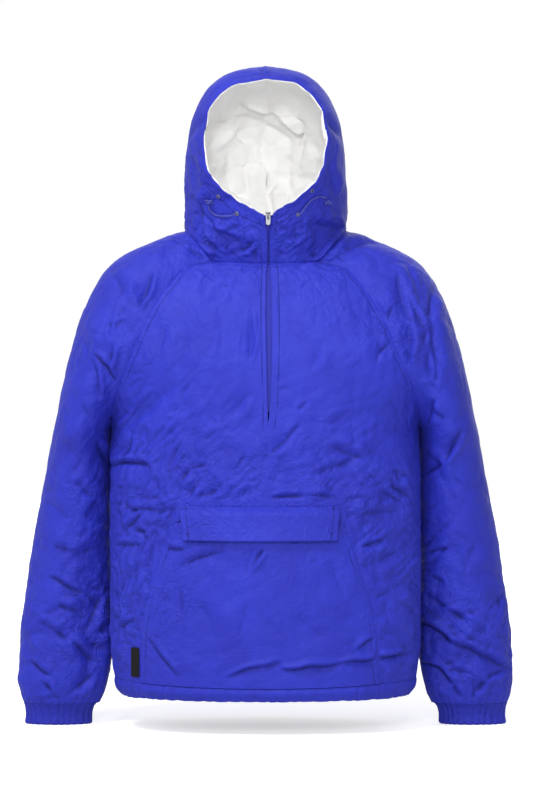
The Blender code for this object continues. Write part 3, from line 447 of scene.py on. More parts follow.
LEFT_SLEEVE_FOLDS = [
    (-172, -51, -198, -106, -2, 4.4, 5, 1.6), (-244, -126, -240, -135, 0, 1.8, 3.5, 1.2),
    (-236, -140, -219, -121, 1, 1.6, 3.8, 1), (-266, -174, -230, -221, -1, 3, 4.5, 1.6),
    (-268, -181, -259, -249, -1, 2.6, 4, 1.4), (-258, -309, -241, -352, -1, 3.2, 4.5, 1.6),
    (-288, -251, -269, -279, 0, 1.8, 6, 1), (-238, -163, -244, -205, 0, 1.6, 4, 1),
    (-337, -522, -277, -546, -3, 2.4, 4.5, 1.4), (-272, -552, -255, -561, 0, 2, 4, 1.2),
    (-365, -719, -319, -710, 2, 2, 5, 1.2), (-309, -496, -257, -477, 2, 1.2, 8, 0.6),
    (-319, -310, -281, -356, 2, 0.7, 9, 0.4), (-342, -403, -303, -434, -2, 1.2, 9, 0.6),
    (-353, -589, -303, -620, -2, 1.8, 7, 1), (-303, -620, -257, -654, -2, 2.4, 5, 1.4),
    (-371, -651, -331, -676, -2, 2, 5, 1.2), (-257, -552, -281, -614, 2, 2.2, 5, 1.2),
    (-266, -670, -309, -707, 2, 2.2, 5, 1.2), (-350, -682, -325, -713, 1, 1.8, 4, 1),
    (-275, -434, -257, -403, 1, 1.6, 6, 0.8), (-249, -34, -222, -87, 3, 1.4, 8, 0.6),
    (-213, -56, -229, -93, 0, 1.2, 6, 0.6), (-303, -217, -281, -174, 1, 1.2, 8, 0.6),
    (-294, -372, -263, -403, -1, 1.4, 7, 0.8), (-331, -473, -294, -484, -1, 1.4, 6, 0.8),
    (-325, -567, -281, -577, -2, 1.8, 6, 1),
]
RIGHT_SLEEVE_FOLDS = [
    (206, -55, 227, -126, -2, 3.6, 6, 1.6), (227, -126, 223, -198, -2, 3.4, 6, 1.6),
    (223, -87, 251, -138, -2, 2, 4, 1.4), (251, -138, 249, -164, 0, 2.2, 3.8, 1.2),
    (257, -113, 264, -228, 3, 2.6, 7, 1.2), (261, -70, 258, -126, 1, 2, 6, 1),
    (253, -172, 255, -217, 0, 2.2, 4, 1.2), (255, -217, 266, -236, 0, 1.8, 3.8, 1),
    (255, -259, 278, -276, -1, 1.6, 4, 1), (306, -294, 273, -345, 1, 2.8, 4, 1.6),
    (273, -345, 244, -366, 1, 2.4, 4, 1.4), (246, -321, 277, -375, 2, 1.4, 7, 0.8),
    (291, -366, 306, -383, 0, 1.4, 4, 0.8), (244, -508, 252, -514, 0, 1.8, 3.5, 1.2),
    (244, -484, 285, -481, 1, 1.1, 3.5, 1), (252, -517, 279, -532, -1, 1.6, 4, 1),
    (249, -547, 276, -567, -1, 2.2, 6, 1), (374, -541, 347, -579, 1, 1.6, 8, 0.8),
    (241, -591, 289, -626, 3, 4.2, 5.5, 2.4), (283, -624, 381, -666, 2, 3.8, 5.5, 2.2),
    (241, -650, 291, -689, 2, 3.2, 4.5, 1.8), (291, -689, 306, -716, -1, 2.8, 4.5, 1.6),
    (374, -665, 341, -683, -1, 2.4, 4.5, 1.4), (341, -683, 318, -719, -1, 2.6, 4.5, 1.4),
    (285, -662, 318, -671, -1, 1.6, 4, 1), (165, -93, 185, -124, 0, 2, 3.8, 1.2),
    (195, -163, 187, -186, 0, 1.8, 3.8, 1), (264, -248, 246, -287, -1, 2.2, 5, 1.2),
    (286, -434, 255, -465, 2, 1.2, 8, 0.6), (332, -465, 305, -512, 2, 1.2, 10, 0.6),
    (280, -574, 317, -592, -2, 1.6, 6, 0.8), (111, -16, 176, -2, 2, 1.8, 5, 1.2),
    (123, -34, 100, -19, 0, 1.6, 4, 0.8),
]
HOOD_FOLDS = [
    (-117, 130, -98, 80, -2, 2.6, 7, 1.4), (-121, 71, -80, 24, -2, 3.4, 6, 1.8),
    (-80, 24, -40, -3, -2, 2.8, 5, 1.6), (-111, 45, -88, -20, 2, 3, 6, 1.6),
    (-98, 11, -77, -16, 1, 3, 4, 1.8), (-119, -11, -85, -32, 0, 2.4, 4, 1.6),
    (-15, 1, -36, -9, 1, 2.2, 3.8, 1.4), (-18, -5, -47, -19, 2, 2.2, 3.8, 1.4),
    (-59, -3, -67, -20, 0, 1.8, 3.8, 1.4), (58, 5, 30, 1, 1, 1.6, 3.8, 1.2),
    (51, -12, 39, -14, 0, 1.8, 3.8, 1.2), (126, 20, 78, -12, -3, 6.5, 8, 2.8),
    (119, 12, 72, -30, -3, 5.5, 7, 2.2), (93, -17, 49, -38, -2, 3, 4, 1.6),
    (76, 22, 113, 18, 1, 1.6, 6, 0.9), (103, 186, 113, 157, 0, 1.2, 4, 0.6),
    (100, 124, 107, 62, 2, 1.3, 5, 0.7), (-114, 105, -106, 40, -2, 2.1, 7, 1.1),
    (22, 22, 41, 12, 0, 1.4, 4, 0.9), (-67, 12, -40, 22, 1, 1.7, 6, 0.9),
    (53, 40, 63, 12, 0, 1.5, 5, 0.9), (-92, 40, -71, 19, -1, 1.9, 5, 1.1),
    (16, -16, 32, -25, 0, 1.5, 4, 0.9), (-40, -22, -21, -34, 1, 1.5, 4, 0.9),
]
# Folds of the back and of the hood's back, seen from the front through the garment.
BACK_FOLDS = [
    (60, -20, 110, -60, 3, 2, 6, 1), (-60, -16, -118, -66, -3, 2.2, 6, 1),
    (10, -30, 22, -96, 2, 1, 7, 0.6), (-34, -60, -20, -120, -2, 0.9, 8, 0.6),
    (150, -120, 118, -190, 3, 2.2, 6, 1), (-178, -96, -152, -160, -2, 1.8, 6, 0.8),
    (190, -210, 120, -270, 4, 3, 9, 1.4), (-206, -182, -146, -240, -4, 2.4, 8, 1.1),
    (224, -300, 150, -340, 4, 2.6, 5, 1.4), (-226, -306, -140, -352, -4, 2.8, 5, 1.5),
    (226, -360, 168, -352, 3, 2, 4, 1.2), (-222, -372, -166, -366, -3, 2.1, 4, 1.2),
    (80, -240, 20, -280, 3, 1.4, 8, 0.7), (-56, -214, -22, -258, -2, 1.1, 8, 0.5),
    (148, -396, 78, -444, 4, 1.7, 6, 0.9), (-130, -430, -36, -470, -4, 2.2, 6, 1.1),
    (214, -430, 164, -476, 3, 2.1, 4.5, 1.2), (-216, -440, -170, -492, -3, 2, 4.5, 1.2),
    (30, -500, -62, -520, 4, 1.8, 6, 0.9), (150, -520, 92, -560, 3, 1.7, 6, 0.9),
    (-166, -504, -114, -548, -3, 1.6, 6, 0.9), (222, -540, 176, -590, 3, 1.9, 4.5, 1.1),
    (-222, -550, -180, -604, -3, 2, 4.5, 1.1), (60, -600, 8, -644, 3, 1.6, 6, 0.9),
    (-20, -620, -96, -662, 3, 2, 5, 1.2), (190, -620, 96, -664, 4, 3, 5, 2),
    (-206, -630, -124, -668, -4, 2.6, 5, 1.8), (40, -660, -30, -672, 2, 2.2, 4.5, 1.4),
    (100, -330, 60, -376, -2, 1.2, 7, 0.6), (-112, -320, -88, -360, 2, 1, 7, 0.5),
    (0, -130, -14, -210, 2, 0.9, 9, 0.5), (130, -62, 168, -100, 2, 1.8, 5, 1),
    (-128, -64, -170, -108, -2, 1.9, 5, 1),
]
HOOD_BACK_FOLDS = [
    (-90, 60, -20, 20, -5, 5, 8, 2.4), (104, 72, 50, 40, 5, 3.6, 8, 1.7),
    (-60, 104, 10, 84, -4, 3, 8, 1.6), (54, 140, 24, 118, 3, 1.6, 7, 0.7),
    (-84, 160, -52, 110, 2, 2.2, 7, 1.2), (98, 148, 86, 100, -2, 1.6, 7, 0.8),
    (-54, 206, -62, 170, 1, 1.2, 8, 0.6), (36, 196, 48, 150, -1, 1.5, 8, 0.9),
    (-112, 10, -60, 44, 3, 2.6, 6, 1.5), (116, 14, 66, 50, -3, 2.8, 6, 1.5),
    (-20, 44, 22, 50, 3, 2, 6, 1.1), (-70, 30, -96, -10, 1, 2, 6, 1),
]
# How much deeper and narrower each group's folds are made than its rows say.
DEEPER = {"body": 3.2, "sleeves": 3.2, "hood": 3.9, "back": 2.8}
NARROWER = 0.68
LONG = 42.0                   # a fold shorter than this is made less deep, by its length


def scaled(rows, group):
    """A group's folds as an array, deepened and narrowed."""
    rows = np.array(rows, float)
    length = np.hypot(rows[:, 2] - rows[:, 0], rows[:, 3] - rows[:, 1])
    rows[:, 6] *= NARROWER
    rows[:, [5, 7]] *= (DEEPER[group] * np.minimum(length / LONG, 1))[:, None]
    return rows


SLEEVE_FOLDS = scaled(LEFT_SLEEVE_FOLDS + RIGHT_SLEEVE_FOLDS, "sleeves")
FRONT_FOLDS = np.concatenate([scaled(BODY_FOLDS, "body"), SLEEVE_FOLDS, scaled(HOOD_FOLDS, "hood")])
# The sleeves' backs have the folds of the other sleeve's front, so X and bow change sign.
REAR_FOLDS = np.concatenate([
    scaled(BACK_FOLDS + HOOD_BACK_FOLDS, "back"),
    SLEEVE_FOLDS * np.array([-1, 1, -1, 1, -1, 1, 1, 1]),
])

# Ripples that run one way: place seen from the front, radius, lean of the ripples from X in
# degrees, size across them, how many times longer they are, and their rise.
GRAIN = [
    (-179, -310, 95, 50, 12, 4, 4.8), (-78, -263, 85, 52, 22, 4, 2.6),
    (-195, -558, 85, 60, 12, 2.6, 4.4), (146, -279, 95, 30, 24, 3, 2.2),
    (208, -465, 80, 40, 13, 3, 4.2), (-117, -108, 85, 95, 24, 3.6, 1.9),
    (131, -139, 85, 100, 24, 3.6, 1.9), (-47, -140, 50, 86, 13, 4.5, 1.3),
    (255, -140, 80, 100, 17, 6, 1.7), (301, -357, 90, 62, 26, 3, 3),
    (286, -630, 95, -27, 16, 3.6, 4.6), (-241, -140, 75, 72, 15, 4, 2.4),
    (-303, -325, 90, 72, 26, 3, 2.6), (-303, -620, 95, -38, 17, 3.2, 3.4),
    (-70, 0, 62, -35, 12, 3.4, 4.6), (61, -4, 62, 36, 12, 3.6, 4.6),
    (-114, 78, 65, 108, 14, 3.4, 5), (112, 100, 65, 80, 14, 3.4, 4.6),
    (-101, -655, 60, 20, 12, 2.6, 1.4), (0, -420, 90, 20, 26, 2.6, 1.6),
    (0, -600, 130, 35, 34, 2.6, 2), (0, 200, 90, 80, 20, 2.6, 1.8),
    (-60, -400, 80, 52, 14, 2.8, 3.6), (-185, -420, 80, 25, 13, 2.6, 4),
    (100, -340, 80, 28, 16, 2.8, 2.6),
]
RIPPLE_RISE = 1.9             # how many times higher they are made than their rows say

# Where the cloth is livelier or calmer than elsewhere: place seen from the front, radius,
# and what it adds to the crumpling.
LIVELY = [
    (-190, -430, 110, 1.9), (-195, -590, 80, 1.7), (-110, 40, 70, 1.4), (115, 60, 60, 1.3),
    (60, -6, 65, 1.5), (-60, 0, 65, 1.6), (300, -620, 110, 1.9), (-300, -620, 100, 1.5),
    (230, -130, 80, 1.3), (-235, -150, 70, 1.2), (0, -180, 90, -0.3), (110, -200, 80, -0.2),
    (190, -430, 80, 1.5), (90, -380, 80, 1.2), (-70, -390, 80, 1.2), (350, -420, 80, -0.2),
]
# Where it lies still, because something is fixed on it: X, Z and radius.
STILL = [
    (-43, 32, 11), (50, 31, 11), (-71, 58, 10), (70, 66, 10), (-62, 29, 12), (-78, 36, 12),
    (62, 46, 12), (80, 57, 12), (-84, 50, 14), (93, 51, 14), (-197, -645, 16), (-197, -630, 14),
    (-197, -660, 14), (4, 28, 14), (4, 12, 10),
]


def seen_from_front(points):
    """X and Z of points in the plane Y = 0, along sight lines from the viewing distance."""
    scale = VIEW_DISTANCE / (VIEW_DISTANCE + points[:, 1])
    return points[:, 0] * scale, (points[:, 2] - VIEW_Z) * scale + VIEW_Z


DOMES = ((52.0, 6.0, 4), (25.0, 3.0, 5), (12.0, 1.0, 6))   # size, rise and seed step
DOME_MEAN = 0.16              # of |noise|
DRIFT, DRIFT_SIZE = 34.0, 70.0   # how far the domes' places drift, and over what distance


def crumple(points, seed=3):
    """Soft domes between creases: the sum of |noise| at three sizes, on warped points. Under
    the root, a little is added to the square, so that the creases are rounded.
    """
    warp = np.stack([noise(points, DRIFT_SIZE, seed + axis) for axis in range(3)], axis=-1)
    places = points + DRIFT * warp
    height = np.zeros(len(points))
    for size, rise, step in DOMES:
        level = noise(places, size, seed + step)
        height += rise * (np.sqrt(level ** 2 + 0.0006) - DOME_MEAN)
    return height


LIVELY_BASE = 0.85
LIVELY_LEAST, LIVELY_MOST = 0.25, 2.8


def liveliness(points):
    """How strongly the cloth crumples: the base, plus the lively places' Gaussian bumps."""
    x, z = seen_from_front(points)
    total = np.full(len(points), LIVELY_BASE)
    for place_x, place_z, radius, gain in LIVELY:
        total += gain * np.exp(-((x - place_x) ** 2 + (z - place_z) ** 2) / radius ** 2)
    return np.clip(total, LIVELY_LEAST, LIVELY_MOST)


def stillness(points, ahead):
    """0 at what is fixed on the front and 1 away from it."""
    x, z = points[:, 0], points[:, 2]
    total = np.ones(len(points))
    for place_x, place_z, radius in STILL:
        distance = ((x - place_x) ** 2 + (z - place_z) ** 2) / radius ** 2
        total *= 1 - np.exp(-distance ** 2) * ahead
    return total


WAVER, WAVER_SIZE = 5.0, 30.0   # how far creases stray from their lines, and over what distance
STEEP, GENTLE = 0.8, 2.1      # the reach of a crease's two sides, in its widths
RIDGE_AT, RIDGE_WIDTH = 2.6, 1.8   # the ridge's place and width, in the crease's widths
FOLD_REACH = 11               # widths from its line at which a fold ends


def folded(x, z, rows):
    """Height of the given folds: a crease -depth * exp(-|s| / side), steep on one side with
    a ridge beyond it and gentle on the other, s being the distance from a bowed line, faded
    to nought at the line's ends. The places are warped, so that no crease runs straight.
    """
    height = np.zeros(len(x))
    flat = np.stack([x, z, 0 * x], axis=-1)
    x = x + WAVER * noise(flat, WAVER_SIZE, 301)
    z = z + WAVER * noise(flat, WAVER_SIZE, 302)
    for start_x, start_z, end_x, end_z, bow, depth, width, ridge in rows:
        length = np.hypot(end_x - start_x, end_z - start_z)
        run_x, run_z = (end_x - start_x) / length, (end_z - start_z) / length
        way = ((x - start_x) * run_x + (z - start_z) * run_z) / length
        off = (z - start_z) * run_x - (x - start_x) * run_z
        near = (way > 0) & (way < 1) & (np.abs(off) < FOLD_REACH * width + abs(bow))
        a, s = way[near], off[near]
        s = s - 4 * bow * a * (1 - a)
        swell = np.sin(np.pi * a)
        wide = width * (0.7 + 0.4 * swell)
        side = np.where(s > 0, STEEP, GENTLE) * wide
        fold = -depth * np.exp(-(np.sqrt(s ** 2 + 0.8) - 0.9) / side)   # rounded at its bottom
        fold += ridge * np.exp(-((s - RIDGE_AT * wide) / (RIDGE_WIDTH * wide)) ** 2)
        height[near] += fold * swell ** 0.8
    return height


def ripples(points, seed=120):
    """Domes of |noise| stretched along each place's lean, leaning to one side by a share of
    the noise itself, under that place's Gaussian.
    """
    x, z = seen_from_front(points)
    height = np.zeros(len(points))
    for step, (place_x, place_z, radius, lean, size, stretch, rise) in enumerate(GRAIN):
        reach = ((x - place_x) ** 2 + (z - place_z) ** 2) / radius ** 2
        near = reach < 5.0    # beyond, the Gaussian is under a hundredth
        if not near.any():
            continue
        cos, sin = np.cos(np.radians(lean)), np.sin(np.radians(lean))
        along_it, across_it = x[near] * cos + z[near] * sin, z[near] * cos - x[near] * sin
        place = np.stack([along_it / stretch, across_it, points[near, 1] / stretch], axis=-1)
        place[:, 1] += 0.5 * size * noise(place, 2.5 * size, seed + step)
        level = noise(place, size, seed + 40 + step)
        ridge = 0.4 * level + np.sqrt(level ** 2 + 0.0004) - 0.15
        height[near] += RIPPLE_RISE * rise * np.exp(-reach[near]) * ridge
    return height


DEEPEST = 10.0                # how far in a crease may go
UNDERARM_POINT = np.array([[240.5], [20.0], [-300.0]])   # on either side
ZIP_X = 4.0                   # the middle of what the zip holds still
ZIP_FOOT = -320.0             # below this it holds nothing still


def relief(points, normals, distance, calm=1.0):
    """The cloth's height: domes, ripples and folds, lower where it faces sideways and along
    its borders, and none at the underarm, along the zip and at what is fixed on it.
    """
    x, z = seen_from_front(points)
    ahead, behind = smooth(-normals[:, 1], 0.0, 0.35), smooth(normals[:, 1], 0.0, 0.35)
    edge = 0.4 + 0.6 * smooth(np.abs(normals[:, 1]), 0.15, 0.6)
    height = (crumple(points) * liveliness(points) + ripples(points)) * edge
    height += ahead * folded(x, z, FRONT_FOLDS) + behind * folded(x, z, REAR_FOLDS)
    height *= 0.05 + 0.95 * smooth(distance, 0.3, 15.0)
    x, y, z = points.T
    height *= smooth(np.linalg.norm([np.abs(x), y, z] - UNDERARM_POINT, axis=0), 2.0, 40.0)
    zipped = (1 - smooth(np.abs(x - ZIP_X), 9.0, 20.0)) * smooth(z, ZIP_FOOT, ZIP_FOOT + 30.0)
    height = np.where(height < 0, DEEPEST * np.tanh(height / DEEPEST), height)
    return height * stillness(points, ahead) * calm * (1 - ahead * zipped)


FAR_OFF = 1000.0              # the distance where there is no seam or stitch line
ALL_ROUND = ("top", "start", "end", "bottom")


def seam_fields(grid, sewn, stitched):
    """For each point, how far it is from the nearest sewn border and from the nearest stitch
    line, and the run along that line. stitched gives borders their stitch line's distance.
    """
    across, down = lengths(grid, 1), lengths(grid, 0)
    borders = {
        "start": (across, down), "end": (across[:, -1:] - across, down),
        "top": (down, across), "bottom": (down[-1:] - down, across),
    }
    distance, stitch, run = np.full(across.shape, FAR_OFF), np.full(across.shape, FAR_OFF), down.copy()
    for side, (off, along_it) in borders.items():
        if side in sewn:
            distance = np.minimum(distance, off)
        if side in stitched:
            away = np.abs(off - stitched[side])
            run = np.where(away < stitch, along_it, run)
            stitch = np.minimum(stitch, away)
    return distance, stitch, run, across, down


def puckers(points, distance, stitch, rise=1.0):
    """Short ripples beside seams and stitch lines, uneven by noise, and the grooves of the
    seam and of the stitches.
    """
    ripple = noise(points, 7.0, 41) + 0.8 * noise(points, 11.0, 42)
    strength = 0.3 + 2.4 * np.abs(noise(points, 34.0, 43))
    beside = np.exp(-(distance / 7.0) ** 2) + 0.8 * np.exp(-(stitch / 6.0) ** 2)
    groove = -0.2 * np.exp(-(distance / 1.4) ** 2) - 0.35 * strength * np.exp(-(stitch / 1.5) ** 2)
    return rise * strength * ripple * beside + groove


TOPSTITCH = 8.0               # how far from a seam its topstitch line runs
SEAM_CLOSE = 1.1              # how far a sewn border's outer edge reaches over its seam's gap
COARSE = 3                    # how many outer steps make one step of a cloth's inner wall
SHARP = 1.0                   # edges that turn by more radians than this are drawn sharp


def border(grid):
    """The outermost entries of a grid in order round it, each once."""
    return np.concatenate([grid[0, :-1], grid[:-1, -1], grid[-1, :0:-1], grid[:0:-1, 0]])


def quads(index):
    """The faces between the entries of a grid of vertex numbers."""
    return np.stack([index[:-1, :-1], index[:-1, 1:], index[1:, 1:], index[1:, :-1]], axis=-1).reshape(-1, 4)


def smooth_mesh(name, points, faces):
    """A mesh of points in millimetres, shaded smooth but at its sharp edges."""
    mesh = bpy.data.meshes.new(name)
    mesh.from_pydata((points * MM).tolist(), [], faces)
    mesh.shade_smooth()
    mesh.set_sharp_from_angle(angle=SHARP)
    return mesh


def sewn_mesh(name, outer, inner, normals, free=(), sewn=None):
    """A closed mesh of an outer grid, a coarser inner one and the strip round them, which is
    rounded along the free borders. Where the border is sewn it reaches over its seam's gap.
    Also gives the grid point of each vertex, and which vertices are the inner ones.
    """
    rows, cols = outer.shape[:2]
    index = np.arange(rows * cols).reshape(rows, cols)
    kept = np.ix_(*(np.append(np.arange(0, size - 1, COARSE), size - 1) for size in (rows, cols)))
    coarse = np.arange(index[kept].size).reshape(index[kept].shape) + rows * cols
    loop = border(index)
    middle = (outer + inner) / 2
    rims = {
        "top": (middle[0] - middle[1])[:-1], "end": (middle[:, -1] - middle[:, -2])[:-1],
        "bottom": (middle[-1] - middle[-2])[:0:-1], "start": (middle[:, 0] - middle[:, 1])[:0:-1],
    }
    reach = unit(np.concatenate(list(rims.values())))
    loose = np.concatenate([np.full((len(way), 1), float(side in free)) for side, way in rims.items()])
    half = np.linalg.norm(outer - inner, axis=-1).reshape(-1, 1)[loop] / 2
    rim = middle.reshape(-1, 3)[loop] + reach * loose * half
    outer = outer.reshape(-1, 3).copy()
    if sewn is not None:
        outer[loop] += SEAM_CLOSE * reach * (1 - loose) * sewn.reshape(-1, 1)[loop]
    here = np.arange(len(loop)) + rows * cols + coarse.size
    skin = quads(index)
    faces = np.concatenate([
        skin, quads(coarse)[:, ::-1],
        np.stack([np.roll(loop, -1), loop, here, np.roll(here, -1)], axis=-1),
    ]).tolist()
    corners = np.flatnonzero(np.isin(loop, index[kept]) & np.isin(loop, border(index[kept])))
    inside = border(coarse)
    ends = np.append(corners[1:], len(loop))
    for place, (first, last) in enumerate(zip(corners, ends)):
        strip = here[np.arange(last, first - 1, -1) % len(loop)]
        faces.append([*strip.tolist(), int(inside[place]), int(inside[(place + 1) % len(inside)])])
    corner = outer[skin]
    turn = np.cross(corner[:, 1] - corner[:, 0], corner[:, 3] - corner[:, 0])
    if np.sum(turn * normals.reshape(-1, 3)[skin[:, 0]]) < 0:
        faces = [face[::-1] for face in faces]
    mesh = smooth_mesh(name, np.concatenate([outer, inner[kept].reshape(-1, 3), rim]), faces)
    pick = np.concatenate([index.ravel(), index[kept].ravel(), loop])
    hidden = (np.arange(len(pick)) >= rows * cols) & (np.arange(len(pick)) < here[0])
    return mesh, pick, hidden


def give(mesh, name, values):
    """A number at each vertex, stored as an attribute of the mesh."""
    attribute = mesh.attributes.new(name, "FLOAT", "POINT")
    attribute.data.foreach_set("value", np.asarray(values, np.float32))


def give_map(mesh, name, values):
    """A UV map of the mesh, from a pair of numbers for each vertex."""
    corners = np.empty(len(mesh.loops), np.int32)
    mesh.loops.foreach_get("vertex_index", corners)
    mesh.uv_layers.new(name=name).data.foreach_set("uv", values[corners].ravel())


def finished(node, ending, mesh, material):
    """The object for a mesh with its material, riding on the garment in place of a CAD node."""
    mesh.materials.append(material)
    piece = placed(node + ending, mesh)
    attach(piece, "garment")
    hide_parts(node)
    return piece


def nearby(height, reach, measure):
    """A measure, such as np.min, of the heights within so many grid steps of each point."""
    for axis, margin in enumerate((((reach, reach), (0, 0)), ((0, 0), (reach, reach)))):
        padded = np.pad(height, margin, mode="edge")
        steps = np.arange(height.shape[axis])
        height = measure([np.take(padded, steps + k, axis=axis) for k in range(2 * reach + 1)], axis=0)
    return height


CREASE_SHADE_DEPTH = 1.8                  # how far under its surroundings the cloth gets its full painted shade
NEVER_STITCHED = 50.0         # added to the inner wall's stitch distance, so that no stitch shows
HEIGHTS = {}                  # how far each piece's grid is moved out, by its name


def panel(name, grid, middle, material, heights, fields, wall=WALL, free=()):
    """A cloth piece: its grid moved out by heights(points, normals, distance, stitch),
    with its wall behind it, and its stitch lines, liveliness and the painted shade of its
    creases stored for the material, and the map of its cut.
    """
    normals = facing(grid, middle)
    distance, stitch, run, across, down = fields
    points, flat = grid.reshape(-1, 3), normals.reshape(-1, 3)
    height = heights(points, flat, distance.ravel(), stitch.ravel()).reshape(run.shape)
    HEIGHTS[name] = height
    outer = grid + normals * height[..., None]
    inner = grid + normals * (nearby(height, COARSE, np.min) - wall)[..., None]
    mesh, pick, hidden = sewn_mesh(name, outer, inner, normals, free, distance < 0.01)
    give(mesh, "stitch", stitch.ravel()[pick] + NEVER_STITCHED * hidden)
    give(mesh, "run", run.ravel()[pick])
    give(mesh, "lively", liveliness(points)[pick])
    # Painted shade: how far the cloth lies below the mean height around it, so that the material darkens it
    # down in its creases.
    crease_shade = np.clip((nearby(height, 2, np.mean) - height) / CREASE_SHADE_DEPTH, 0, 1)
    give(mesh, "crease_shade", crease_shade.ravel()[pick] * ~hidden)
    give_map(mesh, "cut", np.stack([across.ravel(), down.ravel()], axis=-1)[pick] * MM)
    return finished(name, "_cloth", mesh, material)


def shell_heights(points, normals, distance, stitch):
    """A shell piece's relief and its seams' puckers."""
    return relief(points, normals, distance) + puckers(points, distance, stitch)


POCKET_TOP = -400.0           # above the flap's seam
POCKET_ROOM = 5.0             # how far the front sinks behind the pocket, for the pocket's folds
POCKET_SUNK = (-676.0, -662.0)   # from the hem up, where that begins and is reached


def beyond_pocket(points):
    """How far points of the front lie sideways of the pocket and above it, negative inside."""
    x, z = points[:, 0], points[:, 2]
    levels, left, right = (BODY[name][::-1] for name in ("chest_z", "pocket_left", "pocket_right"))
    beside = np.maximum(x - np.interp(z, levels, right), -x - np.interp(z, levels, left))
    return beside, z - POCKET_TOP


def front_heights(points, normals, distance, stitch):
    """The front's relief, still at the pocket's edges and sunk behind it."""
    ahead = smooth(-normals[:, 1], 0.0, 0.35)
    beside, above = beyond_pocket(points)
    calm = 1 - ahead * (1 - smooth(np.maximum(beside, above), 0.0, 12.0))
    height = relief(points, normals, distance, calm) + puckers(points, distance, stitch)
    sunk = smooth(-beside, 2.0, 16.0) * smooth(-above, 8.0, 22.0) * smooth(points[:, 2], *POCKET_SUNK)
    return height - ahead * POCKET_ROOM * sunk


# Nylon taffeta: a smooth close weave of fine filament yarn, dyed a clear blue. It gives a
# soft sheen on the bulges, and fine crinkles about 13 mm apart between the folds. The dye
# varies over some 70 mm. Shade is painted into its creases, in the thread's dark tone. The
# weave's threads lie 0.2 mm apart, and are drawn 2 mm apart, because they wouldn't show.
STITCH_LENGTH = 3.6           # drawn coarser than the real 2.6 so that it shows
THREAD = 0.5                  # half the stitches' width, drawn coarser too


def dressed(tree, surface, base, layers, height, strength, depth):
    """The shader's colour, a base tone with layers of (share, tone) laid over it, and its bump
    of so many metres by a height.
    """
    colour = linear(base)
    for share, tone in layers:
        mix = add(tree, "Mix", {"Factor": share, "A": colour, "B": linear(tone)}, data_type="RGBA")
        colour = mix.outputs["Result"]
    tree.links.new(colour, surface.inputs["Base Color"])
    if depth:
        bump = add(tree, "Bump", {"Height": height, "Strength": strength, "Distance": depth})
        tree.links.new(bump.outputs["Normal"], surface.inputs["Normal"])


def stitch_mask(tree):
    """1 on the stitches: on the stitch lines, for the greater part of each stitch."""
    line = add(tree, "Attribute", attribute_name="stitch").outputs["Fac"]
    run = add(tree, "Attribute", attribute_name="run").outputs["Fac"]
    on_line = add(tree, "MapRange", {"Value": line, "From Min": THREAD, "From Max": THREAD * 1.8,
                                     "To Min": 1.0, "To Max": 0.0}).outputs[0]
    part = add(tree, "Math", {0: run, 1: STITCH_LENGTH}, operation="DIVIDE").outputs[0]
    part = add(tree, "Math", {0: part}, operation="FRACT").outputs[0]
    part = add(tree, "Math", {0: part, 1: 0.5, 2: 0.36}, operation="COMPARE").outputs[0]
    return add(tree, "Math", {0: on_line, 1: part}, operation="MULTIPLY").outputs[0]


def taffeta(name, light, dark, thread_and_crease_shade):
    """Dyed nylon taffeta with its uneven dye, painted shade in its creases, stitches, crinkles and weave."""
    material, tree, surface = new_material(name, roughness=0.62, sheen_weight=0.04, sheen_roughness=0.45,
                                           sheen_tint=linear("#8f94ff"), specular_ior_level=0.20)
    place = add(tree, "TexCoord").outputs["Object"]
    dye = add(tree, "TexNoise", {"Vector": place, "Scale": 14.0, "Detail": 3.0, "Roughness": 0.6})
    shade = add(tree, "MapRange", {"Value": dye.outputs["Fac"], "From Min": 0.35, "From Max": 0.7}).outputs[0]
    # Painted shade: the colour goes towards the dark thread tone the deeper the cloth lies in a crease.
    crease_shade = add(tree, "Attribute", attribute_name="crease_shade").outputs["Fac"]
    crease_shade = add(tree, "Math", {0: crease_shade, 1: 1.4}, operation="POWER").outputs[0]
    stitches = stitch_mask(tree)
    crinkle = add(tree, "TexNoise", {"Vector": place, "Scale": 75.0, "Detail": 3.0, "Roughness": 0.55,
                                     "Distortion": 0.8})
    crease = add(tree, "Math", {0: crinkle.outputs["Fac"], 1: 0.5}, operation="SUBTRACT").outputs[0]
    crease = add(tree, "Math", {0: crease}, operation="ABSOLUTE").outputs[0]
    lively = add(tree, "Attribute", attribute_name="lively").outputs["Fac"]
    crease = add(tree, "Math", {0: crease, 1: lively}, operation="MULTIPLY").outputs[0]
    weave = add(tree, "TexNoise", {"Vector": place, "Scale": 520.0, "Detail": 2.0}).outputs["Fac"]
    height = crease
    for part, rise in ((weave, 0.10), (stitches, -0.25)):
        height = add(tree, "Math", {0: part, 1: rise, 2: height}, operation="MULTIPLY_ADD").outputs[0]
    dressed(tree, surface, light, ((shade, dark), (crease_shade, thread_and_crease_shade), (stitches, thread_and_crease_shade)), height, 0.85, 0.0030)
    return material


# Its last tone is both the stitches' thread and the painted shade in the creases.
shell_nylon = taffeta("nylon_taffeta_padded", "#242ca2", "#202696", "#151a70")


def off_axis(grid):
    """The points of the garment's upright axis that lie level with a grid's points."""
    return grid * np.array([0.0, 0.0, 1.0])


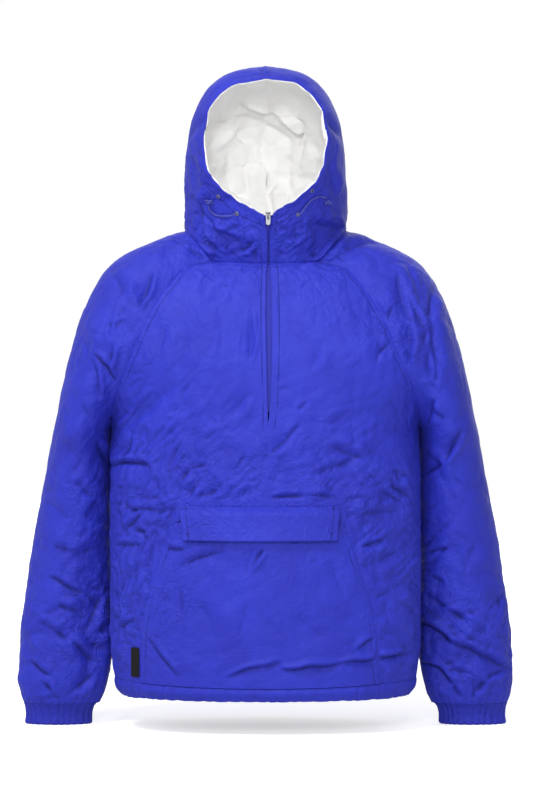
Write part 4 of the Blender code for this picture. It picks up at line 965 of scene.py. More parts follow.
PLACKET_STITCH = {"left": 6.5, "right": 10.5}   # from the zip's edges, down to the placket's end
PLACKET_FOOT = -332.0
FRONTS = {}
for word, side in SIDES.items():
    grid = FRONTS[word] = front_grid(side) * MIRROR[word]
    distance, stitch, run, across, down = seam_fields(
        grid, ("top", "end", "bottom"), {"top": TOPSTITCH, "end": TOPSTITCH})
    past = grid[:, :, 2] - PLACKET_FOOT
    upright = np.hypot(across - PLACKET_STITCH[word], np.minimum(past, 0.0))
    level = np.hypot(np.maximum(across - PLACKET_STITCH[word], 0.0), past)
    run = np.where(np.minimum(upright, level) < stitch, np.where(upright < level, down, across), run)
    stitch = np.minimum(stitch, np.minimum(upright, level))
    distance = np.where(past < 0, np.minimum(distance, across), distance)
    piece = panel("front_" + word, grid, off_axis(grid), shell_nylon, front_heights,
                  (distance, stitch, run, across, down))
BACK = back_grid()
fields = seam_fields(BACK, ALL_ROUND, {"start": TOPSTITCH, "end": TOPSTITCH})
piece = panel("back", BACK, off_axis(BACK), shell_nylon, shell_heights, fields)

# ---------------------------------------------------------------- sleeves
# Raglan sleeves in the same padded nylon, cut up to the neck seam and closed by one seam
# under the arm. They hang in loose folds that gather towards the cuffs.

# Folds of the arms' outer sides, seen along X: y and z of their ends, then as above.
OUTER_FOLDS = [
    (-60, -120, 10, -160, 4, 2.6, 6, 1.4), (40, -180, 90, -230, -3, 2.4, 6, 1.2),
    (-50, -250, 20, -270, 3, 2.2, 6, 1.1), (60, -320, 110, -300, -3, 2.4, 6, 1.2),
    (-40, -380, 30, -410, 4, 2.8, 6, 1.4), (50, -440, 110, -410, 3, 2.4, 6, 1.2),
    (-20, -500, 50, -520, -3, 2.6, 6, 1.3), (40, -560, 100, -530, 3, 2.4, 6, 1.2),
    (-10, -610, 60, -640, 4, 3.2, 5.5, 1.8), (50, -660, 90, -640, 2, 2.4, 5, 1.4),
    (0, -680, 40, -712, 2, 2.4, 5, 1.3),
]
SLEEVE_ROWS, SLEEVE_COLUMNS = 336, 166
CUFF_GATHERS = (26, 51)       # waves round a turn, and the noise's seed
INNER_BAG = 10.0              # how far the cloth bags towards the body above the cuff


def gathers(points, angle, waves, seed):
    """Upright gathers round a tube: |cos| waves of an angle, uneven by noise, minus their mean."""
    beat = waves * angle / 2 + 2.4 * noise(points * np.array([1.0, 1.0, 0.25]), 24.0, seed)
    strength = 0.65 + 1.5 * np.abs(noise(points * np.array([1.0, 1.0, 0.3]), 30.0, seed + 1))
    return strength * (np.abs(np.cos(beat)) ** 0.8 - 0.6)


def sleeve_heights(side):
    """A sleeve's relief, the folds of its outer side, its bag towards the body, a Gaussian of
    z, and the gathers over its cuff.
    """
    def heights(points, normals, distance, stitch):
        outwards = smooth(normals[:, 0] * side, 0.35, 0.8) * smooth(-points[:, 2], 60.0, 130.0)
        height = shell_heights(points, normals, distance, stitch)
        height += 0.6 * outwards * folded(points[:, 1], points[:, 2], OUTER_FOLDS)
        angle = np.arctan2(points[:, 1] - 34.0, (np.abs(points[:, 0]) - 320.0) * 0.62)
        near_cuff = smooth(-points[:, 2], 655.0, 716.0)
        height *= 1 - 0.5 * smooth(-points[:, 2], 690.0, 718.0)
        inwards = smooth(-normals[:, 0] * side, 0.5, 0.95)
        height += INNER_BAG * inwards * np.exp(-((points[:, 2] + 620.0) / 85.0) ** 2)
        return height + 1.6 * near_cuff * gathers(points, angle, *CUFF_GATHERS)
    return heights


places = np.linspace(0, len(SLEEVE["turn"]) - 1, DENSE)
middle_run = lengths(sleeve_arc(places, np.array([0.0, -1.0, 1.0])), 0).sum(axis=1)
SLEEVE_PLACES = np.interp(fine_ends(SLEEVE_ROWS) * middle_run[-1], middle_run, places)
for word, side in SIDES.items():
    grid = sleeve_arc(SLEEVE_PLACES, 2 * fine_ends(SLEEVE_COLUMNS) - 1) * MIRROR[word]
    piece = panel("sleeve_" + word, grid, grid.mean(axis=1, keepdims=True), shell_nylon,
                  sleeve_heights(side), seam_fields(grid, ALL_ROUND, {}))

# ---------------------------------------------------------------- cuffs
# Narrow bands of the same nylon, doubled and run full of elastic, so that they stand in
# dense upright gathers.
CUFF = table(
    "outer_x inner_x z depth",
    [(378, 262, -718, 30), (375, 268.5, -727, 25), (374, 271, -739, 23),
     (375.5, 271, -750.5, 24.5)],
)
CUFF_WALL = 3.0
CUFF_ROWS, CUFF_COLUMNS = 24, 190
BAND_STITCH = {"top": 1.4}    # from the seam that cuffs and hem are sewn on along
# The same nylon, painted a little darker: painted shade of its close gathers.
cuff_nylon_painted_darker = taffeta("nylon_taffeta_over_elastic", "#1f2796", "#1b2288", "#181d7a")


def cuff_heights(points, normals, distance, stitch):
    """Deep gathers between the cuff's two rims."""
    angle = np.arctan2(points[:, 1] - 32.0, (np.abs(points[:, 0]) - 322.5) * 0.5)
    return 1.9 * gathers(points, angle, *CUFF_GATHERS) - 0.9 * np.exp(-(distance / 1.6) ** 2)


places = np.linspace(0, len(CUFF["z"]) - 1, CUFF_ROWS)
angle = np.linspace(-np.pi, np.pi, CUFF_COLUMNS)
row = {name: between(column, places)[:, None] for name, column in CUFF.items()}
ring = np.stack([
    (row["outer_x"] + row["inner_x"]) / 2 + (row["outer_x"] - row["inner_x"]) / 2 * np.cos(angle),
    SLEEVE["centre_y"][-1] + row["depth"] * np.sin(angle),
    row["z"] + 0 * angle,
], axis=-1)
for word in SIDES:
    grid = ring * MIRROR[word]
    piece = panel("cuff_" + word, grid, grid.mean(axis=1, keepdims=True), cuff_nylon_painted_darker, cuff_heights,
                  seam_fields(grid, ("top",), BAND_STITCH), CUFF_WALL, ("bottom",))

# ---------------------------------------------------------------- hem casing
# The bottom edge in the same nylon, turned up into a casing and stitched down along its top,
# with flat elastic inside that gathers it gently.
HEM = table(
    "half_width chest_y spine_y z",
    [(233, -140, 128, 0), (230, -139.5, 127.5, -688), (221, -133.5, 121.5, -699.5)],
)
HEM_WALL = 3.6
HEM_ROWS, HEM_COLUMNS = 15, 620
HEM_GATHERS = (70, 61)        # waves round a turn, and the noise's seed


def hem_heights(points, normals, distance, stitch):
    """A soft roll with uneven gathers, flattened where it is sewn on."""
    angle = np.arctan2(points[:, 1] * 1.6, points[:, 0])
    height = 1.6 * smooth(distance, 0.0, 9.0)
    height += 1.3 * smooth(distance, 0.0, 8.0) * gathers(points, angle, *HEM_GATHERS)
    height += 0.5 * relief(points, normals, distance)
    return height - 0.9 * np.exp(-(distance / 1.5) ** 2)


line = np.concatenate([FRONTS["left"][-1][::-1], FRONTS["right"][-1][1:], BACK[-1][1:]])
run = lengths(line[None])[0]
line = at(np.linspace(0, run[-1], HEM_COLUMNS), run, line)
places = 2 * fine_ends(HEM_ROWS, 0.6)
wide, chest, spine = (
    between(HEM[name], places) / HEM[name][0] for name in ("half_width", "chest_y", "spine_y")
)
fall = np.array([between(np.array([z, *HEM["z"][1:]]), places) for z in line[:, 2]]).T
grid = np.stack([
    wide[:, None] * line[:, 0],
    np.where(line[:, 1] < 0, chest[:, None], spine[:, None]) * line[:, 1],
    fall,
], axis=-1)
piece = panel("hem_band", grid, off_axis(grid), shell_nylon, hem_heights,
              seam_fields(grid, ("top",), BAND_STITCH), HEM_WALL, ("bottom",))

# ---------------------------------------------------------------- hood
# Two shaped halves of the padded nylon, joined by a seam over the crown, with a stitched
# casing for the drawcord round the face edge.
# Points along half the face edge, from the zip up to the crown.
FACE = table(
    "x y z",
    [
        (4, -126, 28.9), (28.6, -125, 41), (46.7, -123.5, 53), (61.7, -122, 65),
        (75.3, -120.5, 77.1), (84.3, -119, 89.1), (91.1, -116.5, 113.2), (94.1, -114, 137.3),
        (94.1, -111.5, 161.4), (91.1, -109, 185.4), (83.5, -107.5, 197.5), (75.3, -106.5, 209.5),
        (63.2, -105.5, 221.6), (40.6, -105, 233.6), (0, -105, 239.6),
    ],
)
# How far and which way the cloth leaves the neck seam and comes to the face edge, at ways
# along both from the zip to the centre seam.
HOOD = table(
    "way neck_x neck_y neck_z face_x face_y face_z",
    [
        (0.00, 0, -12, 22, 0, 4, -20), (0.15, 4, -14, 26, 12, 12, -14),
        (0.35, 4, -8, 45, 28, 38, -10), (0.55, 2, 16, 72, 34, 70, 0),
        (0.75, 16, 62, 108, 46, 118, 56), (0.90, 16, 92, 121, 41, 145, 88),
        (1.00, 0, 102, 124, 0, 152, 94),
    ],
)
LIP_STEPS = (0.0, 0.13, 0.30, 0.47, 0.64, 0.80, 0.92, 1.0)
LIP_GAPS = (2.2, 2.0, 1.9, 2.0, 2.8, 4.7, 6.0, 6.6)   # half the zip's gap at those steps
LIP_WIDTH = 22.0              # how far in from the zip the cloth is drawn to its lip
HOOD_ROWS, HOOD_COLUMNS = 148, 158
FACE_WOBBLE = 3.5             # how uneven the face edge is
FACE_EASE, WAY_EASE = 16, 7   # steps that the tables' corners are rounded over
# Where the crown's edge dips or stands up: X, reach and fall.
CROWN = {"left": (23.0, 14.0, 5.0), "right": (42.0, 14.0, -6.0)}
HOOD_STITCH = 9.0             # from the zip's edge
CROWN_STITCH = 6.0            # from the centre seam
CASING = 17.0                 # width of the drawcord's casing round the face edge


def along(points, ways):
    """Points at the given fractions of a line's length."""
    run = lengths(points[None])[0]
    return at(ways, run / run[-1], points)


def eased(values, reach):
    """A column of numbers, evenly spaced, averaged over a window so that it has no corners."""
    window = np.ones(2 * reach + 1) / (2 * reach + 1)
    first, last = 2 * values[0] - values[reach:0:-1], 2 * values[-1] - values[-2:-2 - reach:-1]
    return np.convolve(np.concatenate([first, values, last]), window, "valid")


def hood_grid(side):
    """A hood half on the +X side: Bezier runs from the neck seam to the face edge."""
    front = front_grid(side)[0]
    shoulder = sleeve_arc(np.zeros(1), np.linspace(-1, 1, 90))[0]
    nape = body_lines(np.zeros(1), 1)[0, :MIRRORED_POINTS - 1:-1]
    ways = fine_ends(HOOD_COLUMNS)
    neck = along(np.concatenate([front, shoulder[1:], nape[1:]]), ways)
    rows = np.linspace(0, len(FACE["x"]) - 1, 400)
    face = np.stack([eased(between(FACE[name], rows), FACE_EASE) for name in "xyz"], axis=-1)
    face = along(face, ways)
    leave, reach = (
        np.stack([eased(np.interp(ways, HOOD["way"], HOOD[end + name]), WAY_EASE) for name in "xyz"], axis=-1)
        for end in ("neck_", "face_")
    )
    steps = fine_ends(HOOD_ROWS)
    grid = np.swapaxes(bezier((neck, neck + leave, face + reach, face), steps), 0, 1)
    lip = side * BODY["centre_x"][0] + np.interp(steps, LIP_STEPS, LIP_GAPS)
    drawn = np.clip(1 - lengths(grid) / LIP_WIDTH, 0, 1) ** 2
    grid[:, :, 0] += drawn * (lip - grid[:, 0, 0])[:, None]
    wobble = FACE_WOBBLE * noise(grid.reshape(-1, 3), 17.0, 81).reshape(grid.shape[:2])
    wobble = wobble * smooth(lengths(grid), 8.0, 40.0)
    place, reach, dip = CROWN["right" if side > 0 else "left"]
    wobble += dip * np.exp(-((face[:, 0] - place) / reach) ** 2) * (face[:, 2] > 150.0)
    from_face = lengths(grid, 0)
    wobble *= np.exp(-((from_face[-1:] - from_face) / 14.0) ** 2)
    grid = grid + unit(face - grid[-6]) * wobble[..., None]
    grid[:, -1, 0] = 0.0
    return grid


PINCH = {"z": 171.0, "reach": 9.0, "depth": 3.6}   # where the hood's sides are drawn in


def hood_heights(points, normals, distance, stitch):
    """The hood's relief and puckered casing, and the pinch in each side, a Gaussian of z."""
    height = relief(points, normals, distance) + puckers(points, distance, stitch, 1.7)
    slant = points[:, 2] - PINCH["z"] + 0.25 * (points[:, 1] + 100.0)
    pinch = np.exp(-(slant / PINCH["reach"]) ** 2) - 0.5 * np.exp(-((slant + 20.0) / 14.0) ** 2)
    beside = smooth(np.abs(points[:, 0]), 78.0, 100.0) * (1 - smooth(points[:, 1], -70.0, 0.0))
    return height - PINCH["depth"] * pinch * beside


HOODS = {}
HEAD = np.array([0.0, 0.0, 120.0])   # the middle of the wearer's head
for word, side in SIDES.items():
    grid = HOODS[word] = hood_grid(side) * MIRROR[word]
    fields = seam_fields(grid, ("top", "end"), {"start": HOOD_STITCH, "bottom": CASING, "end": CROWN_STITCH})
    piece = panel("hood_" + word, grid, HEAD, shell_nylon, hood_heights, fields, free=("bottom",))

# ---------------------------------------------------------------- hood lining
# White brushed lining, cut as the shell is, sewn to it at the face edge and left loose
# inside, where it sags and rolls forward under the crown.
LINING_WALL = 1.6
LINING_GAP = 0.6              # to the shell, where both are sewn together
LINING_SAG = 7.0              # towards the head
LINING_START = 15.0           # how far from the zip's edge it begins
# Its fibres are drawn up into a nap, which leaves it matt and a little uneven in tone. The
# nap is drawn in tufts of 2 mm, coarser than the real one, so that it shows.
lining, tree, surface = new_material("brushed_white_lining", roughness=0.85, sheen_weight=0.15,
                                     sheen_roughness=0.6)
place = add(tree, "TexCoord").outputs["Object"]
nap = add(tree, "TexNoise", {"Vector": place, "Scale": 500.0, "Detail": 3.0})
tone = add(tree, "TexNoise", {"Vector": place, "Scale": 22.0, "Detail": 2.0})
shade = add(tree, "MapRange", {"Value": tone.outputs["Fac"], "From Min": 0.35, "From Max": 0.7}).outputs[0]
dressed(tree, surface, "#fcfcfb", [(shade, "#f7f6f4")], nap.outputs["Fac"], 0.3, 0.0006)

# The lining's folds, whose troughs lead away from the wearer's head.
LINING_FOLDS = [
    (64, 160, 10, 206, -6, -20, 7, 0), (16, 206, -38, 216, -3, -20, 7, 0),
    (-62, 192, -90, 140, 3, 9, 4, 5), (-52, 194, -10, 184, 3, 8, 4, 3),
    (-10, 184, 44, 150, 5, 8, 4, 4),
    (-4, 180, -6, 120, 1, 7, 3.5, 3.5), (-6, 124, 4, 66, 1, 5, 3, 2.5),
    (-32, 116, -30, 54, 2, 7, 4, 4), (7, 74, 10, 36, 0, 12, 2.6, 2),
    (18, 96, 4, 60, 0, 6, 3.5, 3.5), (40, 150, 34, 84, 3, 5, 6, 3),
    (64, 150, 50, 100, -3, 5, 6, 3), (-66, 120, -50, 66, -3, 5.5, 6, 3),
    (30, 132, 48, 116, 0, 4, 3, 2),
    (-20, 150, -28, 110, 1, 5, 4, 3), (-70, 186, -80, 150, 2, 5, 5, 3),
    (12, 150, 20, 110, 1, 4, 4, 2), (-48, 160, -42, 110, 1, 4, 5, 2.5),
]


def lining_heights(points, distance):
    """The lining's sag towards the head and its soft folds, none at the face edge."""
    x, z = seen_from_front(points)
    height = folded(x, z, LINING_FOLDS) * smooth(points[:, 1], -80.0, -30.0)
    height += LINING_SAG + 1.8 * crumple(points, 90)
    return height * smooth(distance, 3.0, 42.0)


for word in SIDES:
    shell = HOODS[word]
    first = int(np.argmax(lengths(shell)[0] > LINING_START))
    from_face = lengths(shell, 0)
    from_face = from_face[-1:] - from_face
    # It follows the shell where it is sewn, and keeps clear of its creases where it is loose.
    loose = smooth(from_face, 2.0, 24.0)
    height = HEIGHTS["hood_" + word]
    sunk = 1.3 * np.minimum(nearby(height, 2 * COARSE, np.min), 0) * loose + height * (1 - loose)
    grid = shell - facing(shell, HEAD) * (WALL + LINING_GAP + LINING_WALL - sunk)[..., None]
    grid = grid[:, first:]
    grid[:, -1, 0] = 0.0
    # It is turned over, so that its mesh's outer face is the one that shows in the hood.
    name = "hood_lining_" + word
    away = -facing(grid, HEAD)
    height = lining_heights(grid.reshape(-1, 3), from_face[:, first:].ravel())
    height = np.maximum(height, -0.5).reshape(away.shape[:2])
    outer = grid + away * height[..., None]
    outer[:, -1, 0] = 0.0
    mesh = sewn_mesh(name, outer, grid - away * LINING_WALL, away, ("bottom",))[0]
    piece = finished(name, "_cloth", mesh, lining)

# ---------------------------------------------------------------- pocket
# A flared kangaroo patch of the same nylon, sewn on along both sides and caught in the hem
# casing below, open at the top under its flap.
POCKET_MOUTH = 12             # body row of the pocket's mouth
POCKET_ROWS, POCKET_COLUMNS = 128, 172
POCKET_WALL = 1.8
POCKET_SLACK = 8.0            # how far it stands off the front at most
POCKET_BULGE = np.array([0.85, 1.0, 1.0, 0.75, 0.4, 0.12, 0.0])   # shares of it, body row by row
POCKET_FOLDS = [
    (-3, -478, -26, -509, 1, 1.9, 3.8, 1), (-137, -505, -60, -482, 2, 1.7, 7, 0.7),
    (-157, -478, -123, -477, -3, 1.9, 3.8, 1), (-132, -541, -132, -581, 0, 1, 4, 0.5),
    (66, -502, 80, -493, 0, 1.2, 3.5, 0.8), (143, -636, 169, -615, 1, 1.9, 3.5, 1.2),
    (-60, -679, 15, -659, 3, 1.4, 3.5, 1.4), (21, -668, 122, -656, -2, 1.9, 3.8, 2.2),
    (115, -657, 202, -647, -1, 1.8, 3.8, 2), (-5, -666, 26, -656, 1, 1.2, 3.5, 1),
    (-24, -477, -32, -521, 1, 1, 5, 0.5), (100, -496, 123, -558, 2, 1.2, 10, 0.5),
    (-102, -558, -78, -620, 2, 1.2, 12, 0.5), (38, -574, 100, -620, -3, 1.2, 14, 0.5),
    (-40, -620, -24, -558, 2, 1, 12, 0.5), (-183, -614, -132, -680, -2, 1.5, 3.5, 1.4),
]


def pocket_swell(x, left, right, place):
    """How far the pocket stands off the front: none at its side edges, by 1 - share^2.2."""
    share = np.abs(2 * x + left - right) / (right + left)
    bulge = between(POCKET_BULGE, np.maximum(place - POCKET_MOUTH, 0.0))
    return POCKET_SLACK * bulge * (1 - np.minimum(share, 1.0) ** 2.2)


def front_at(places, x):
    """Points of the front's surface on body rows, at the given distances from X = 0."""
    lines = body_lines(places, -1)[:, MIRRORED_POINTS:][:, :LINE_POINTS * 3 // 4]
    made = np.array([at(np.abs(across), line[:, 0], line) for line, across in zip(lines, x)])
    made[:, :, 0] = x
    return made


def pocket_heights(points, normals, distance, stitch):
    """The pocket's folds, calm along its sewn sides and never in as far as the front, and the
    puckers there.
    """
    x, z = seen_from_front(points)
    height = (0.7 * crumple(points) + 0.8 * ripples(points)) * smooth(distance, 2.0, 30.0)
    height += folded(x, z, scaled(POCKET_FOLDS, "body"))
    height = height * smooth(distance, 0.0, 7.0)
    room = 1.4 + 0.9 * swell.ravel() + 4.0 * smooth(distance, 3.0, 16.0)
    return np.maximum(height, -room) + puckers(points, distance, stitch, 1.1)


places = POCKET_MOUTH + (ROWS - POCKET_MOUTH) * fine_ends(POCKET_ROWS)
left, right = (between(BODY["pocket_" + word], places)[:, None] for word in SIDES)
x = -left + fine_ends(POCKET_COLUMNS) * (left + right)
base = front_at(places, x)
swell = pocket_swell(x, left, right, places[:, None])
grid = base + facing(base, off_axis(base)) * (SEAM_GAP + POCKET_WALL + swell)[..., None]
fields = seam_fields(grid, ("start", "end", "bottom"), {"start": TOPSTITCH, "end": TOPSTITCH})
piece = panel("pocket_panel", grid, off_axis(grid), shell_nylon, pocket_heights, fields,
              POCKET_WALL, ("top", "start", "end"))

# ---------------------------------------------------------------- pocket flap
# A doubled flap of the same nylon that hangs over the pocket's mouth, sewn to the front along
# its top and stitched round its other edges.
FLAP_TOP = 11                 # body row that it is sewn on along
FLAP_FALL = 49.5
FLAP_ROWS, FLAP_COLUMNS = 26, 120
FLAP_WALL = 2.6
FLAP_CLEAR = 3.8              # to the pocket, apart from the gaps
FLAP_TAPER = 0.0012           # share of its width that it loses for each millimetre down
FLAP_LIP = 3.0                # how far the flap's free edge stands out further
FLAP_STITCH = {"top": 4.0, "start": 9.0, "end": 9.0, "bottom": 9.0}


def flap_heights(points, normals, distance, stitch):
    """A flat flap: slight ripples, its stitch line pressed in."""
    height = 0.3 * crumple(points) * smooth(distance, 0.0, 12.0)
    return height + 0.6 * puckers(points, distance + 20.0, stitch)


fall = FLAP_FALL * fine_ends(FLAP_ROWS)[:, None]
left, right = (BODY["pocket_" + word][FLAP_TOP] for word in SIDES)
x = -left + (left + right) * fine_ends(FLAP_COLUMNS)
about = front_at(FLAP_TOP + np.array([-0.5, 0.0, 0.5]), np.stack([x] * 3))
away = facing(about, np.array([0.0, 0.0, BODY["chest_z"][FLAP_TOP]]))[1]
line = np.repeat(about[1:2], len(fall), axis=0)
line[:, :, 0] *= 1 - FLAP_TAPER * fall
line[:, :, 2] -= fall
row = FLAP_TOP + 2 * fall / FLAP_FALL
swell = pocket_swell(line[:, :, 0], *(between(BODY["pocket_" + word], row) for word in SIDES), row)
clear = SEAM_GAP * 2 + POCKET_WALL + FLAP_CLEAR + swell
rise = np.sin(np.pi / 2 * np.clip(fall / (0.28 * FLAP_FALL), 0, 1))
stand = SEAM_GAP + (clear - SEAM_GAP) * rise + FLAP_WALL + FLAP_LIP * (fall / FLAP_FALL) ** 3
grid = line + away[None] * stand[..., None]
piece = panel("pocket_flap", grid, off_axis(grid), shell_nylon, flap_heights,
              seam_fields(grid, ALL_ROUND, FLAP_STITCH), FLAP_WALL, ALL_ROUND)

# ---------------------------------------------------------------- zip
# A half zip: two woven polyester tapes behind the lips, the closed nylon coil behind them,
# and a plated slider with its pull at the top.
TAPE_WIDTH = 12.0
TAPE_WALL = 0.8
TAPE_CLEAR = 0.8              # from the lips to the tapes
CHAIN_WIDTH = 5.0
CHAIN_WALL = 1.5
CHAIN_CLEAR = 0.5             # from the tapes to the coil
ZIP_ROWS = 6.0                # body rows that the zip runs down past
PLACKET_WIDTH = 16.0
STRIP_COLUMNS = 9             # of a tape and of the coil
COIL_PITCH = 1.6
TOOTH = 0.35                  # half the height of the coil's turns


def patterned(name, kind, links, tones, strength, depth, settings=(), **shader):
    """A material that goes from one tone to another by a pattern on Object coordinates, with
    a bump from the same pattern.
    """
    material, tree, surface = new_material(name, **shader)
    place = add(tree, "TexCoord").outputs["Object"]
    pattern = add(tree, kind, {"Vector": place, **links}, **dict(settings)).outputs["Fac"]
    dressed(tree, surface, tones[0], [(pattern, tones[1])], pattern, strength, depth)
    return material


# The tape's ribs run across it, 1.2 mm apart. The coil is a drawn nylon filament, smoother and
# glossier, with a grain of about a millimetre.
tape = patterned("woven_polyester_tape", "TexWave", {"Scale": 260.0, "Distortion": 0.3},
                 ("#1d2284", "#252b98"), 0.4, 0.0003, {"bands_direction": "Z"}, roughness=0.7,
                 specular_ior_level=0.2)
coil = patterned("nylon_coil", "TexNoise", {"Scale": 900.0}, ("#262b5e", "#343a78"), 0.0, 0.0, roughness=0.4)


def zip_line(word):
    """The zip edge and a line one placket's width in, from the top down, with the zip's middle."""
    hood, front = HOODS[word], FRONTS[word]
    last = int(np.argmax(BODY_PLACES > ZIP_ROWS))
    parts = ((hood[:0:-1], facing(hood, HEAD)[:0:-1]), (front[:last], facing(front, off_axis(front))[:last]))
    lines = []
    for inset in (0.0, PLACKET_WIDTH):
        found = []
        for grid, away in parts:
            column = int(np.argmax(lengths(grid)[len(grid) // 2] >= inset))
            found.append(grid[:, column] - away[:, column] * WALL)
        lines.append(np.concatenate(found))
    edge, placket = lines
    above = np.full(len(hood) - 1, BODY["centre_x"][0])
    middle = np.append(above, between(BODY["centre_x"], BODY_PLACES[:last]))
    return edge, at(-edge[:, 2], -placket[:, 2], placket), middle


def zip_strip(line, distances, depth):
    """A strip so far behind the lips, through the given distances from the zip's middle."""
    edge, placket, middle = line
    columns = []
    for distance in distances:
        share = (middle + distance - edge[:, 0]) / (placket[:, 0] - edge[:, 0])
        columns.append(edge + (placket - edge) * share[:, None] + np.array([0.0, depth, 0.0]))
    return np.stack(columns, axis=1)


lines = {word: zip_line(word) for word in SIDES}
for word, side in SIDES.items():
    distances = side * np.linspace(SEAM_GAP / 2, TAPE_WIDTH, STRIP_COLUMNS)
    strip = zip_strip(lines[word], distances, TAPE_CLEAR)
    away = facing(strip, off_axis(strip))
    name = "zip_tape_" + word
    mesh = sewn_mesh(name, strip, strip - away * TAPE_WALL, away)[0]
    piece = finished(name, "_cloth", mesh, tape)
distances = np.linspace(-CHAIN_WIDTH / 2, CHAIN_WIDTH / 2, STRIP_COLUMNS)
strip = zip_strip(lines["right"], distances, TAPE_CLEAR + TAPE_WALL + CHAIN_CLEAR)
run = lengths(strip, 0)[:, 0]
steps = np.arange(0.0, run[-1], COIL_PITCH / 4)
strip = np.stack([at(steps, run, strip[:, column]) for column in range(STRIP_COLUMNS)], axis=1)
away = facing(strip, off_axis(strip))
# The coil's two sides turn by half a pitch from each other, as teeth that mesh.
turn = steps[:, None] / COIL_PITCH + 0.5 * (np.arange(STRIP_COLUMNS) > STRIP_COLUMNS // 2)
inner = strip - away * (CHAIN_WALL - TOOTH + TOOTH * np.cos(2 * np.pi * turn))[..., None]
finished("zip_chain", "_coil", sewn_mesh("zip_chain", strip, inner, away)[0], coil)

# Zinc alloy, die-cast, tumbled and nickel plated: a bright grey with soft highlights, and
# marks of wear a millimetre or two across.
plated = patterned("nickel_plated_zinc", "TexNoise", {"Scale": 700.0, "Detail": 4.0}, ("#7e7e83", "#66666b"),
                   0.15, 0.0002, roughness=0.42, metallic=1.0)
EYELETS = [f"eyelet_{level}_{word}" for level in ("lower", "upper") for word in SIDES]
for name in ["zip_slider", "zip_pull"] + EYELETS:
    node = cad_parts[name]
    node.data.materials.clear()
    node.data.materials.append(plated)

# ---------------------------------------------------------------- side label
# A small black label of woven polyester damask, cut off by heat so that its ends don't fray,
# and sewn flat on the lower front. It is bare.
LABEL = {"left": -203.0, "right": -190.5, "top": -622.5, "foot": -667.5, "corner": 1.6,
         "wall": 0.8, "lift": 0.6}
LABEL_ROWS, LABEL_COLUMNS = 30, 12
LABEL_NEAREST = 6             # how many points of the front its depth is taken from
# Damask is a close twill of fine yarn, so it is matt. Its slanting ribs are drawn 1 mm apart,
# coarser than the real ones, so that they show.
woven = patterned("black_damask_label", "TexWave", {"Scale": 420.0, "Distortion": 0.4},
                  ("#050506", "#0c0c0f"), 0.3, 0.0003, {"bands_direction": "DIAGONAL"}, roughness=0.7,
                  specular_ior_level=0.2)

front = FRONTS["left"].reshape(-1, 3)
front = front[front[:, 1] < 0]
x, z = np.meshgrid(np.linspace(LABEL["left"], LABEL["right"], LABEL_COLUMNS),
                   np.linspace(LABEL["top"], LABEL["foot"], LABEL_ROWS))
# Its corners are rounded: near the ends each row is as wide as a circle leaves it.
corner = LABEL["corner"]
half = np.minimum(np.abs(z - LABEL["top"]), np.abs(z - LABEL["foot"]))
pinch = corner - np.sqrt(np.maximum(corner ** 2 - np.maximum(corner - half, 0) ** 2, 0))
middle = (LABEL["left"] + LABEL["right"]) / 2
x = middle + (x - middle) * (1 - pinch / (middle - LABEL["left"]))
# It follows the front: each point's depth is the mean of the nearest ones', by 1 / distance^2.
gap = (front[:, 0] - x[..., None]) ** 2 + (front[:, 2] - z[..., None]) ** 2
near = np.argsort(gap, axis=-1)[..., :LABEL_NEAREST]
weight = 1 / (np.take_along_axis(gap, near, axis=-1) + 0.5)
y = np.sum(front[near, 1] * weight, axis=-1) / weight.sum(axis=-1)
grid = np.stack([x, y, z], axis=-1)
away = facing(grid, off_axis(grid))
inner = grid + away * LABEL["lift"]
mesh = sewn_mesh("side_label", inner + away * LABEL["wall"], inner, away, ALL_ROUND)[0]
piece = finished("side_label", "_patch", mesh, woven)

# ---------------------------------------------------------------- drawcord
# A thin braided polyester cord in the hood's casing. A short bight of it shows on each
# side, from the lower eyelet to the knot at its end.
CORD_DIAMETER = 2.4
CORDS = {                     # from the lower eyelet to the knot
    "left": [
        (-43.29, -117.19, 32.11), (-45.30, -120.58, 30.75), (-49.52, -118.14, 29.80),
        (-53.58, -115.32, 29.21), (-57.64, -112.45, 28.93), (-61.87, -109.82, 28.86),
        (-66.13, -107.28, 29.28), (-70.38, -104.75, 29.89), (-74.61, -102.30, 30.85),
        (-78.64, -100.25, 32.86), (-82.12, -98.89, 36.14), (-84.83, -98.36, 40.23),
        (-86.15, -99.06, 44.98),
    ],
    "right": [
        (49.61, -114.62, 31.12), (51.51, -118.18, 30.37), (54.75, -117.30, 33.73),
        (57.48, -116.41, 37.52), (59.98, -115.54, 41.49), (62.68, -114.85, 45.35),
        (65.51, -114.45, 49.16), (68.74, -113.72, 52.57), (72.53, -112.30, 55.06),
        (76.53, -110.43, 56.86), (80.54, -108.25, 58.21), (84.49, -105.68, 58.83),
        (88.03, -102.61, 58.10), (91.32, -99.41, 56.84),
    ],
}
CORD_POINTS, CORD_EASE = 60, 3   # points along a cord, and how many its corners are rounded over
KNOTS = {"left": (-84.01, -104.1, 50.73), "right": (93.16, -96.36, 50.56)}
KNOT_SIZE = np.array([2.1, 1.7, 1.4])
KNOT_POINTS = 72

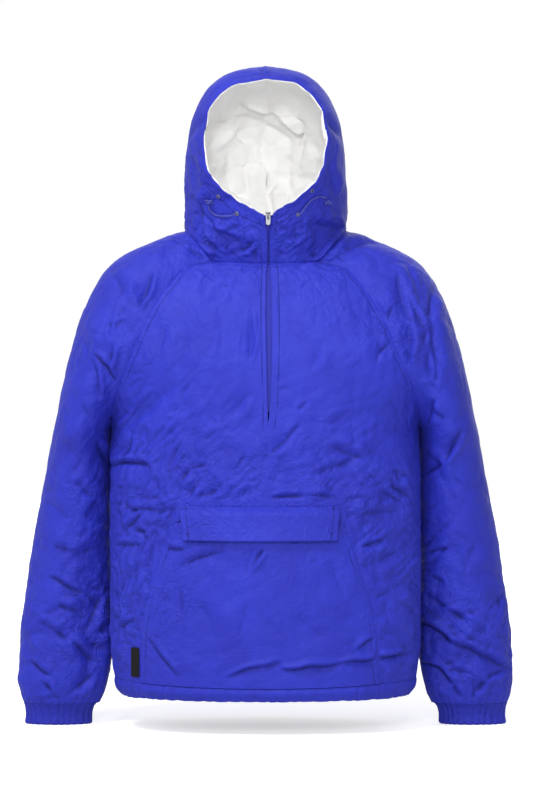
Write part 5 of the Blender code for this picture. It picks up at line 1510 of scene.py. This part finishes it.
# A plait of two sets of strands 0.4 mm apart, the one leaning left and the other right, in a
# polyester that is a little glossier than the shell.
braid, tree, surface = new_material("braided_polyester_cord", roughness=0.6, sheen_weight=0.2)
cord_map = add(tree, "UVMap", uv_map="braid").outputs["UV"]
strand = []
for lean in (1.0, -1.0):
    turn = add(tree, "Mapping", {"Vector": cord_map, "Rotation": (0.0, 0.0, lean * 0.8)}).outputs[0]
    strand.append(add(tree, "TexWave", {"Vector": turn, "Scale": 2.2}).outputs["Fac"])
plait = add(tree, "Math", {0: strand[0], 1: strand[1]}, operation="MULTIPLY").outputs[0]
dressed(tree, surface, "#20268a", [(plait, "#333bb8")], plait, 0.6, 0.0005)


def braided(name, path, closed, sides=12):
    """A piece of cord along a path: at each point a ring of the sine and cosine of an angle
    times two directions across the path, with flat ends unless the path is closed.
    """
    ahead = np.roll(path, -1, axis=0) - np.roll(path, 1, axis=0)
    if not closed:
        ahead[0], ahead[-1] = path[1] - path[0], path[-1] - path[-2]
    ahead = unit(ahead)
    side = unit(np.cross(ahead, np.array([0.13, 0.31, 0.94])))
    up = np.cross(ahead, side)
    angle = np.linspace(0, 2 * np.pi, sides, endpoint=False)[:, None]
    rings = side[:, None] * np.cos(angle) + up[:, None] * np.sin(angle)
    rings = path[:, None] + CORD_DIAMETER / 2 * rings
    index = np.arange(len(path) * sides).reshape(-1, sides)
    ends = [] if closed else [index[0][::-1].tolist(), index[-1].tolist()]
    around = np.append(index, index[:, :1], axis=1)
    if closed:
        around = np.append(around, around[:1], axis=0)
    mesh = smooth_mesh(name, rings.reshape(-1, 3), quads(around).tolist() + ends)
    run = np.arange(len(path)) * np.mean(np.linalg.norm(np.diff(path, axis=0), axis=1))
    turns, lengthways = np.meshgrid(np.arange(sides) * 2.0 / sides, run / CORD_DIAMETER)
    give_map(mesh, "braid", np.stack([turns, lengthways], axis=-1).reshape(-1, 2))
    return finished(name, "_braid", mesh, braid)


t = np.linspace(0, 2 * np.pi, KNOT_POINTS, endpoint=False)
# A trefoil, the shape of a single overhand knot.
trefoil = KNOT_SIZE * np.stack([
    np.sin(t) + 2 * np.sin(2 * t), np.cos(t) - 2 * np.cos(2 * t), -1.6 * np.sin(3 * t),
], axis=-1)
for word, route in CORDS.items():
    path = along(np.array(route), np.linspace(0, 1, CORD_POINTS))
    path = np.stack([eased(column, CORD_EASE) for column in path.T], axis=-1)
    cord = braided("drawcord_" + word, path, False)
    tie = braided("cord_knot_" + word, trefoil + np.array(KNOTS[word]), True)
